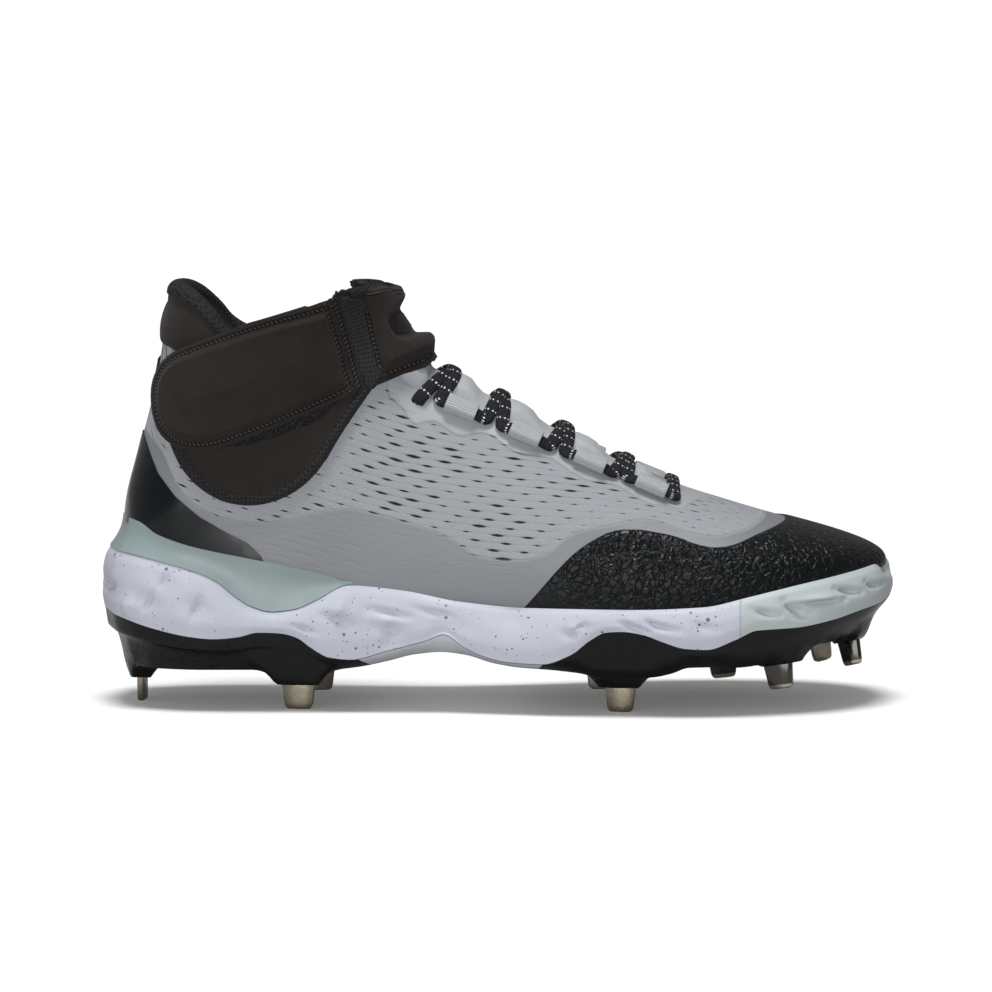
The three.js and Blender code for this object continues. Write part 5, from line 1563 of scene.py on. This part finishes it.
def cloth_look(graph, colour):
    place = graph.here()
    cloth = graph.use("jersey cloth", Place=place)
    return {"Base Color": cloth_base(graph, colour, cloth), "Normal": graph.bump(cloth["Fine"], 0.16 * MM)}


def cloth_base(graph, colour, cloth):
    base = graph.mix(cloth["Soft"], shade(colour, 0.82), shade(colour, 1.2))
    return graph.mix(graph.ease(cloth["Fine"], 0.62, 0.75, 0.0, 0.35), base, shade(colour, 2.6))


def sewn(graph, colour, base, relief, *rows):
    """Adds rows of stitches, each from its edge, run and inset, to a colour and a relief."""
    for edge, run, inset in rows:
        stitches = graph.use("rope stitches", Edge=edge, Run=run, Inset=inset)
        # Painted shade: the trough along each row of stitches is darkened
        base = graph.mix(graph.product(stitches["Trough"], 0.9), base, shade(colour, 0.12))
        base = graph.mix(stitches["Thread"], base, tint("thread"))
        raised = graph.product(stitches["Thread"], 1.2)
        relief = graph.total(relief, raised, graph.product(stitches["Trough"], -0.8))
    return {"Base Color": base, "Normal": graph.bump(relief, 0.4 * MM)}


def stitched_look(graph, colour):
    """Cloth over foam with a line of stitches inside its edge."""
    cloth = graph.use("jersey cloth", Place=graph.here())
    row = (graph.kept("edge"), graph.kept("run"), STITCH_INSET)
    return sewn(graph, colour, cloth_base(graph, colour, cloth), graph.product(cloth["Fine"], 0.3), row)


def strap_look(graph, colour):
    """The strap's cloth, with a knitted band and two more rows of stitches at its front seam."""
    place = graph.here()
    cloth = graph.use("jersey cloth", Place=place)
    tape = graph.use("knitted tape", Place=place)
    behind, rise = graph.kept("behind"), graph.kept("rise")
    band = graph.ease(behind, STRAP_BAND, STRAP_BAND - 0.4 * MM)
    # Painted shade in the hollows of the knitted band
    hollow = graph.product(band, tape["Hollow"])
    base = graph.mix(hollow, cloth_base(graph, colour, cloth), shade(colour, 0.4))
    relief = graph.total(graph.product(cloth["Fine"], 0.3), graph.product(band, tape["Relief"], 0.6))
    rows = [
        (graph.kept("edge"), graph.kept("run"), STITCH_INSET),
        (behind, rise, STRAP_BAND - 0.7 * MM),
        (behind, rise, 1.2 * MM),
    ]
    return sewn(graph, colour, base, relief, *rows)


def sewn_tape_look(graph, colour):
    tape = graph.use("knitted tape", Place=graph.here())
    # Painted highlight on the tape's raised loops and painted shade in its hollows
    base = graph.mix(tape["Hollow"], shade(colour, 1.5), shade(colour, 0.35))
    row = (graph.kept("seam"), graph.kept("run"), 1.6 * MM)
    return sewn(graph, colour, base, graph.product(tape["Relief"], 0.8), row)


def tape_look(graph, colour):
    tape = graph.use("knitted tape", Place=graph.here())
    # Painted highlight on the tape's raised loops and painted shade in its hollows
    base = graph.mix(tape["Hollow"], shade(colour, 1.5), shade(colour, 0.35))
    return {"Base Color": base, "Normal": graph.bump(tape["Relief"], 0.5 * MM)}


def hook_look(graph, colour):
    place = graph.here()
    tufts = graph.noise(place, 0.7 * MM, 3.0, 0.7)
    # Painted highlight on the raised tufts and painted shade between them
    base = graph.mix(graph.ease(tufts, 0.45, 0.65), shade(colour, 0.4), shade(colour, 2.2))
    return {"Base Color": base, "Normal": graph.bump(tufts, 1.2 * MM)}


def film_look(graph, colour):
    """The toe cap's film: pebbled towards the top and front, smooth low down at the back."""
    place = graph.kept("skin", "Vector")
    film = graph.use("pebbled film", Place=place)
    x, _, z = graph.parts(graph.here())
    rise = graph.total(z, graph.product(x, 0.55), graph.product(graph.noise(place, 14 * MM), 12 * MM))
    pebble_share = graph.ease(rise, 54 * MM, 78 * MM)
    strength = graph.total(graph.product(pebble_share, 0.9), 0.1)
    # Painted shade: the cracks between the pebbles are darkened
    base = graph.mix(graph.product(film["Crack"], strength, 0.5), colour, shade(colour, 0.4))
    # Lighter low down at the back, where the pebbles fade
    base = graph.mix(graph.ease(pebble_share, 1.0, 0.0, 0.0, 0.6), base, shade(colour, 1.3))
    relief = graph.product(film["Relief"], strength)
    fine = graph.product(graph.noise(place, 0.5 * MM), 0.06)
    return {
        "Base Color": base,
        "Normal": graph.bump(graph.total(relief, fine), 0.42 * MM),
        "Roughness": graph.ease(pebble_share, 0.0, 1.0, 0.5, 0.34),
    }


def foam_look(graph, colour):
    place = graph.here()
    x, _, _ = graph.parts(place)
    front = graph.ease(x, FRONT_FOAM_X - 0.2 * MM, FRONT_FOAM_X + 0.2 * MM)
    seam = graph.ease(graph.apart(x, FRONT_FOAM_X), 0.5 * MM, 0.1 * MM)
    specks = graph.use("foam specks", Place=place)["Speck"]
    tone = graph.mix(graph.noise(place, 20 * MM), shade(colour, 0.94), shade(colour, 1.04))
    base = graph.mix(graph.product(specks, 0.82), tone, tint("speck"))
    base = graph.mix(front, base, tint("front_foam"))
    base = graph.mix(graph.product(seam, 0.5), base, shade(tint("front_foam"), 0.6))
    fine = graph.noise(place, 0.5 * MM)
    relief = graph.total(graph.product(fine, 0.25), graph.product(seam, -1.0))
    return {"Base Color": base, "Normal": graph.bump(relief, 0.12 * MM)}


def moulded_look(graph, colour):
    place = graph.here()
    tone = graph.mix(graph.noise(place, 30 * MM), shade(colour, 0.92), shade(colour, 1.08))
    fine = graph.noise(place, 0.5 * MM)
    roughness = graph.ease(graph.noise(place, 8 * MM, 3.0), 0.3, 0.7, 0.34, 0.46)
    return {"Base Color": tone, "Normal": graph.bump(fine, 0.05 * MM), "Roughness": roughness}


def tread_look(graph, colour):
    """Black satin plate, with small holes low on the heel."""
    place = graph.here()
    x, y, z = graph.parts(place)
    dots = graph.cells(graph.vector(x, y, graph.product(z, 1.3)), 3.4 * MM)
    heel = graph.ease(x, -92 * MM, -100 * MM)
    low = graph.ease(z, 27 * MM, 25 * MM)
    zone = graph.product(heel, low, graph.ease(z, 13 * MM, 15 * MM))
    hole = graph.product(graph.ease(dots, 0.3, 0.22), zone)
    scuffs = graph.noise(place, 6 * MM, 4.0, 0.7)
    base = graph.mix(graph.ease(scuffs, 0.5, 0.8, 0.0, 0.5), colour, shade(colour, 2.2))
    # The holes get painted shade: black for the dark inside them
    base = graph.mix(hole, base, PIT_SHADE_COLOUR)
    relief = graph.total(graph.product(hole, -1.0), graph.product(graph.noise(place, 0.6 * MM), 0.05))
    roughness = graph.ease(scuffs, 0.35, 0.7, 0.2, 0.34)
    return {"Base Color": base, "Normal": graph.bump(relief, 0.5 * MM), "Roughness": roughness}


def steel_look(graph, colour):
    place = graph.here()
    blotch = graph.noise(place, 3.5 * MM, 2.0)
    base = graph.mix(graph.ease(blotch, 0.4, 0.75), colour, shade(colour, 0.75))
    roughness = graph.ease(blotch, 0.3, 0.7, 0.2, 0.34)
    return {"Base Color": base, "Roughness": roughness, "Normal": graph.bump(blotch, 0.06 * MM)}


def polished_look(graph, colour):
    """Dark polished steel with a bright foot."""
    foot = graph.ease(graph.kept("rise"), 1.9 * MM, 1.3 * MM)
    return {"Base Color": graph.mix(foot, colour, tint("bright_steel"))}


def lace_look(graph, colour):
    """Black braid with rows of small white flecks across it."""
    along, around, _ = graph.parts(graph.kept("lace", "Vector"))
    lengthwise = graph.product(along, 2 * math.pi / BRAID_PITCH)
    crosswise = graph.product(around, 2 * math.pi * BRAID_STRANDS)
    one_way = graph.math("SINE", graph.total(lengthwise, crosswise))
    other_way = graph.math("SINE", graph.math("SUBTRACT", lengthwise, crosswise))
    braid = graph.total(graph.product(one_way, other_way, 0.5), 0.5)
    ribs = graph.math("ABSOLUTE", graph.math("SINE", graph.product(along, math.pi / (1.1 * MM))))
    row_place = graph.product(along, 1 / FLECK_PITCH)
    row = graph.from_middle(row_place)
    luck = graph.chance(graph.vector(graph.math("FLOOR", row_place), 3.0))
    turn = graph.total(graph.product(around, 11.0), graph.product(luck, 0.5))
    dot = graph.from_middle(turn)
    reach = graph.total(graph.product(row, FLECK_PITCH / (0.62 * MM)), graph.product(dot, 1 / 0.3))
    fleck = graph.ease(reach, 1.1, 0.8)
    # Painted highlight on the braid's raised strands and painted shade between them
    base = graph.mix(braid, shade(colour, 0.5), shade(colour, 1.7))
    base = graph.mix(fleck, base, tint("fleck"))
    relief = graph.total(graph.product(braid, 0.6), graph.product(ribs, 0.5), graph.product(fleck, 0.35))
    return {"Base Color": base, "Normal": graph.bump(relief, 0.4 * MM)}


def webbing_look(graph, colour):
    """Pale tape with fine ribs along the lace's way."""
    along, around, _ = graph.parts(graph.kept("lace", "Vector"))
    rib = graph.math("ABSOLUTE", graph.math("SINE", graph.product(around, math.pi * 24)))
    thread = graph.math("SINE", graph.product(along, 2 * math.pi / (0.7 * MM)))
    # Painted shade: the grooves between the ribs are darkened
    base = graph.mix(graph.ease(rib, 0.35, 0.05), shade(colour, 1.05), shade(colour, 0.42))
    relief = graph.total(rib, graph.product(thread, 0.12))
    return {"Base Color": base, "Normal": graph.bump(relief, 0.35 * MM)}


def paper_look(graph, colour):
    """Pale paper that throws little light back on the shoe."""
    seen = graph.node("LightPath", {}, "Is Camera Ray")
    return {"Base Color": graph.mix(seen, shade(colour, 0.45), colour)}


# What each material is made of: its colour's name, roughness, look and other values
CLOTH = {"Sheen Weight": 0.06, "Sheen Roughness": 0.5, "Specular IOR Level": 0.12}
DULL = {"Specular IOR Level": 0.2}
GLOSSY = {"Specular IOR Level": 0.3, "Coat Weight": 0.25, "Coat Roughness": 0.05}
FINISHES = {
    "open knit": ("knit", 0.85, knit_look, {}),
    "tongue cloth": ("tongue", 0.8, tongue_look, {}),
    "pebbled toe": ("cap", 0.4, film_look, {"Specular IOR Level": 0.2}),
    "glossy heel": ("patch", 0.2, None, GLOSSY),
    "foam cloth": ("cloth", 0.85, cloth_look, CLOTH),
    "stitched cloth": ("cloth", 0.85, stitched_look, CLOTH),
    "strap cloth": ("cloth", 0.85, strap_look, CLOTH),
    "sewn tape": ("tape", 0.85, sewn_tape_look, DULL),
    "edge tape": ("tape", 0.85, tape_look, DULL),
    "hook tape": ("hook", 0.9, hook_look, DULL),
    "elastic": ("elastic", 0.7, moulded_look, {"Specular IOR Level": 0.3}),
    "label": ("label", 0.6, moulded_look, {}),
    "speckled foam": ("foam", 0.55, foam_look, {}),
    "heel clip": ("clip", 0.4, moulded_look, {}),
    "tread": ("tread", 0.3, tread_look, {"Specular IOR Level": 0.3}),
    "arch bridge": ("arch", 0.42, moulded_look, {}),
    "stud steel": ("steel", 0.3, steel_look, {"Metallic": 0.85}),
    "polished steel": ("dark_steel", 0.12, polished_look, {"Metallic": 1.0}),
    "flecked lace": ("lace", 0.75, lace_look, DULL),
    "pale webbing": ("webbing", 0.7, webbing_look, {}),
    "studio paper": ("paper", 0.9, paper_look, {}),
}


def finish(name):
    """The named material, made from the scene's colours when it is first asked for."""
    if name in bpy.data.materials:
        return bpy.data.materials[name]
    if not bpy.data.node_groups:
        for effect, parts in EFFECTS.items():
            shared_effect(effect, *parts)
    colour_name, roughness, look, values = FINISHES[name]
    colour = tint(colour_name)
    made = bpy.data.materials.new(name)
    made.use_nodes = True
    shader = made.node_tree.nodes["Principled BSDF"]
    shader.inputs["Base Color"].default_value = colour
    shader.inputs["Roughness"].default_value = roughness
    for label, value in values.items():
        shader.inputs[label].default_value = value
    if look:
        for label, socket in look(Graph(made.node_tree), colour).items():
            made.node_tree.links.new(socket, shader.inputs[label])
    return made


# The add-on: settings, operators and panel

def colour_setting(name, red, green, blue, description):
    return FloatVectorProperty(
        name=name, description=description, default=srgb(red, green, blue),
        subtype="COLOR", size=3, min=0, max=1,
    )


def length_setting(name, default, description):
    return FloatProperty(name=name, description=description, default=default, min=0, unit="LENGTH")


class CleatColours(bpy.types.PropertyGroup):
    """Colours of the cleat's materials"""

    knit: colour_setting("Knit", 160, 163, 168, "The upper's open knit")
    # The foot film is the eyestay's smooth film in a darker grey: painted shade for the low side that curves
    # under
    foot_film: colour_setting("Foot film", 118, 120, 125, "The smooth film at the upper's foot")
    eyestay: colour_setting("Eyestay", 154, 157, 161, "The smooth film beside the throat")
    tongue: colour_setting("Tongue", 170, 174, 178, "The tongue's cloth")
    cap: colour_setting("Toe cap", 6, 10, 12, "The pebbled film of the toe")
    patch: colour_setting("Heel patch", 2, 9, 12, "The glossy film of the heel")
    cloth: colour_setting("Cloth", 38, 34, 32, "The cloth of the strap, the panels and the collar")
    tape: colour_setting("Tape", 32, 32, 33, "The knitted edge tapes")
    hook: colour_setting("Hook tape", 34, 34, 36, "The fuzzy tape under the strap")
    elastic: colour_setting("Elastic", 24, 23, 23, "The elastic between strap and tongue panel")
    thread: colour_setting("Thread", 58, 55, 52, "The stitches")
    label: colour_setting("Label", 16, 17, 18, "The plain label on the tongue panel")
    foam: colour_setting("Foam", 180, 183, 194, "The midsole's foam")
    front_foam: colour_setting("Front foam", 172, 180, 181, "The midsole's foam round the toe")
    speck: colour_setting("Specks", 58, 60, 68, "The specks in the foam")
    clip: colour_setting("Heel clip", 132, 146, 147, "The moulded clip round the heel")
    tread: colour_setting("Tread", 8, 8, 9, "The heel and forefoot plates")
    arch: colour_setting("Arch", 190, 195, 200, "The plate under the arch")
    steel: colour_setting("Studs", 136, 128, 112, "The studs' satin steel")
    dark_steel: colour_setting("Polished studs", 84, 82, 78, "The polished steel of the front studs")
    bright_steel: colour_setting("Polished foot", 200, 192, 172, "The bright foot of the polished studs")
    lace: colour_setting("Lace", 26, 27, 29, "The lace's braid")
    fleck: colour_setting("Flecks", 206, 208, 213, "The flecks in the lace")
    webbing: colour_setting("Webbing", 172, 175, 178, "The lace loops' webbing")
    paper: colour_setting("Paper", 255, 255, 255, "The studio's floor")


class CleatSizes(bpy.types.PropertyGroup):
    """Sizes that only the dressed part shows"""

    strap_pad: length_setting("Strap pad", 2.3 * MM, "How far the strap's pad stands above its rim")
    tongue_pad: length_setting("Tongue pad", 4.6 * MM, "How far the tongue panel's pad stands above its rim")
    tongue_hump: length_setting("Tongue humps", 3 * MM, "How far the tongue swells between the laces")
    lace_sink: length_setting("Lace sink", 0.9 * MM, "How far the crossings press into the tongue")
    crease_depth: FloatProperty(
        name="Crease depth", description="The foam's creases, as a share of their charted depth",
        default=2.5, min=0, max=4, subtype="FACTOR",
    )


def colours():
    return bpy.context.scene.cleat_colours


def sizes():
    return bpy.context.scene.cleat_sizes


def tint(name):
    """A colour of the scene's settings, with its alpha."""
    return (*getattr(colours(), name), 1)


class CLEAT_OT_sole(bpy.types.Operator):
    """Adds the midsole, the heel clip and the plates under them"""

    bl_idname = "cleat.sole"
    bl_label = "Sole"

    def execute(self, context):
        dress(midsole_piece(sizes().crease_depth), "speckled foam", "foam", "midsole")
        dress(clip_piece(), "heel clip", "clip", "heel_clip")
        dress(plate_piece("heel_tread", "heel"), "tread", "plate", "heel_plate")
        dress(plate_piece("arch_bridge", "arch"), "arch bridge", "arch", "arch_plate")
        dress(plate_piece("forefoot_tread", "forefoot"), "tread", "plate", "forefoot_plate")
        return {"FINISHED"}


class CLEAT_OT_studs(bpy.types.Operator):
    """Adds the nine studs, the front ones polished"""

    bl_idname = "cleat.studs"
    bl_label = "Studs"

    def execute(self, context):
        for stud in STUDS:
            name = "polished steel" if stud[0] in POLISHED_STUDS else "stud steel"
            dress(stud_piece(stud), name, "stud", "stud_" + stud[0])
        return {"FINISHED"}


class CLEAT_OT_upper(bpy.types.Operator):
    """Adds the knit upper with its films, and the insole in it"""

    bl_idname = "cleat.upper"
    bl_label = "Upper and insole"

    def execute(self, context):
        dress(insole_piece(), "foam cloth", "insole", "insole")
        dress(upper_piece(), "open knit", "knit", "upper")
        dress(toe_cap_piece(), "pebbled toe", "film", "toe_cap")
        dress(heel_patch_piece(), "glossy heel", "film", "heel_counter")
        return {"FINISHED"}


class CLEAT_OT_collar(bpy.types.Operator):
    """Adds the padded collar, its binding and the heel pull"""

    bl_idname = "cleat.collar"
    bl_label = "Collar"

    def execute(self, context):
        padding = collar_lining_piece()
        dress(padding, "foam cloth", "neoprene", "collar_lining")
        dress(collar_binding_piece(), "edge tape", "binding", "collar_binding")
        dress(heel_pull_piece(), "edge tape", "binding", "heel_pull")
        return {"FINISHED"}


class CLEAT_OT_ankle_panels(bpy.types.Operator):
    """Adds the bound panel on either side of the ankle"""

    bl_idname = "cleat.ankle_panels"
    bl_label = "Ankle panels"

    def execute(self, context):
        for side, word in [(-1, "outer"), (1, "inner")]:
            dress(ankle_panel_piece(side, word), "foam cloth", "neoprene", "ankle_panel_" + word)
            dress(panel_binding_piece(side, word), "edge tape", "binding", "panel_binding_" + word)
        return {"FINISHED"}


class CLEAT_OT_strap(bpy.types.Operator):
    """Adds the padded strap, the fuzzy tape under it and its elastic"""

    bl_idname = "cleat.strap"
    bl_label = "Strap"

    def execute(self, context):
        dress(hook_tape_piece(), "hook tape", "neoprene")
        pad = strap_piece(sizes().strap_pad)
        dress(pad, "strap cloth", "neoprene", "strap")
        dress(strap_link_piece(), "elastic", "binding", "strap_link")
        return {"FINISHED"}


class CLEAT_OT_tongue(bpy.types.Operator):
    """Adds the tongue and the padded panel on it, with its tapes and label"""

    bl_idname = "cleat.tongue"
    bl_label = "Tongue"

    def execute(self, context):
        dress(tongue_piece(sizes().tongue_hump), "tongue cloth", "knit", "tongue")
        pad = tongue_panel_piece(sizes().tongue_pad)
        dress(pad, "stitched cloth", "neoprene", "tongue_panel")
        dress(tongue_rear_tape_piece(), "sewn tape", "neoprene")
        dress(tongue_top_tape_piece(), "edge tape", "binding")
        dress(tongue_label_piece(), "label", "film", "tongue_label")
        return {"FINISHED"}


class CLEAT_OT_laces(bpy.types.Operator):
    """Adds the webbing loops and runs the lace through them"""

    bl_idname = "cleat.laces"
    bl_label = "Laces and loops"

    def execute(self, context):
        for side, word in [(-1, "outer"), (1, "inner")]:
            for number, (u, turn) in enumerate(LACE_LOOPS, 1):
                name = word + "_" + str(number)
                loop = lace_loop_piece("webbing_" + name, u, 0.5 + side * turn)
                dress(loop, "pale webbing", "webbing", "lace_loop_" + name)
        crossings = ["lace_crossing_" + str(number) for number in range(1, len(LACE_LOOPS) + 1)]
        dress(laces_piece(sizes().lace_sink), "flecked lace", "lace", *crossings, "lace_bar")
        return {"FINISHED"}


class CLEAT_OT_stage(bpy.types.Operator):
    """Adds the studio: paper floor, pale sky, two lights and the camera"""

    bl_idname = "cleat.stage"
    bl_label = "Stage"

    def execute(self, context):
        add_floor()
        add_sky(context.scene)
        add_lights()
        add_camera(context.scene)
        context.scene.view_settings.view_transform = "Standard"
        return {"FINISHED"}


def add_floor():
    bpy.ops.mesh.primitive_plane_add(size=FLOOR_SIZE)
    floor = bpy.context.object
    floor.name = "floor"
    floor.data.materials.append(finish("studio paper"))


def add_sky(scene):
    """A white sky to look at that lights the part only weakly."""
    world = bpy.data.worlds.new("studio")
    scene.world = world
    world.use_nodes = True
    graph = Graph(world.node_tree)
    background = world.node_tree.nodes["Background"]
    background.inputs["Color"].default_value = (1, 1, 1, 1)
    seen = graph.node("LightPath", {}, "Is Camera Ray")
    strength = graph.total(graph.product(seen, SKY_SEEN - SKY_LIGHT), SKY_LIGHT)
    graph.feed(background.inputs["Strength"], strength)


def add_lights():
    """A sun overhead, whose shadow lies under the shoe, and a shadowless one behind the camera."""
    for name, heading, tilt, strength, spread in SUNS:
        bpy.ops.object.light_add(type="SUN")
        light = bpy.context.object
        light.name = name
        light.data.energy = strength * math.pi
        light.data.angle = math.radians(spread)
        light.data.use_shadow = name == "top"
        light.rotation_euler = (math.radians(tilt), 0, math.radians(heading))


def add_camera(scene):
    """The photograph's view: a long lens, square to the outer side and slightly above it."""
    rise = math.radians(CAMERA_RISE)
    target = Vector((CAMERA_X, 0, CAMERA_Z))
    back = Vector((0, -math.cos(rise), math.sin(rise)))
    eye = target + back * CAMERA_DISTANCE
    bpy.ops.object.camera_add(location=eye, rotation=(math.pi / 2 - rise, 0, 0))
    camera = bpy.context.object
    camera.data.lens = CAMERA_LENS
    camera.data.sensor_width = 36
    scene.camera = camera


OPERATORS = [
    CLEAT_OT_sole, CLEAT_OT_studs, CLEAT_OT_upper, CLEAT_OT_collar, CLEAT_OT_ankle_panels,
    CLEAT_OT_strap, CLEAT_OT_tongue, CLEAT_OT_laces, CLEAT_OT_stage,
]


class CLEAT_PT_panel(bpy.types.Panel):
    """Lists the cleat's settings and pieces in the sidebar"""

    bl_idname = "CLEAT_PT_panel"
    bl_label = "Baseball cleat"
    bl_space_type = "VIEW_3D"
    bl_region_type = "UI"
    bl_category = "Cleat"

    def draw(self, context):
        for group in (context.scene.cleat_sizes, context.scene.cleat_colours):
            box = self.layout.box()
            for name in group.__annotations__:
                box.prop(group, name)
        for operator in OPERATORS:
            self.layout.operator(operator.bl_idname)


CLASSES = [CleatColours, CleatSizes, *OPERATORS, CLEAT_PT_panel]


def register():
    for each in CLASSES:
        bpy.utils.register_class(each)
    bpy.types.Scene.cleat_colours = PointerProperty(type=CleatColours)
    bpy.types.Scene.cleat_sizes = PointerProperty(type=CleatSizes)


def unregister():
    del bpy.types.Scene.cleat_colours
    del bpy.types.Scene.cleat_sizes
    for each in reversed(CLASSES):
        bpy.utils.unregister_class(each)


def main():
    register()
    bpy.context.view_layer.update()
    for operator in OPERATORS:
        group, name = operator.bl_idname.split(".")
        getattr(getattr(bpy.ops, group), name)()


if __name__ == "__main__":
    main()
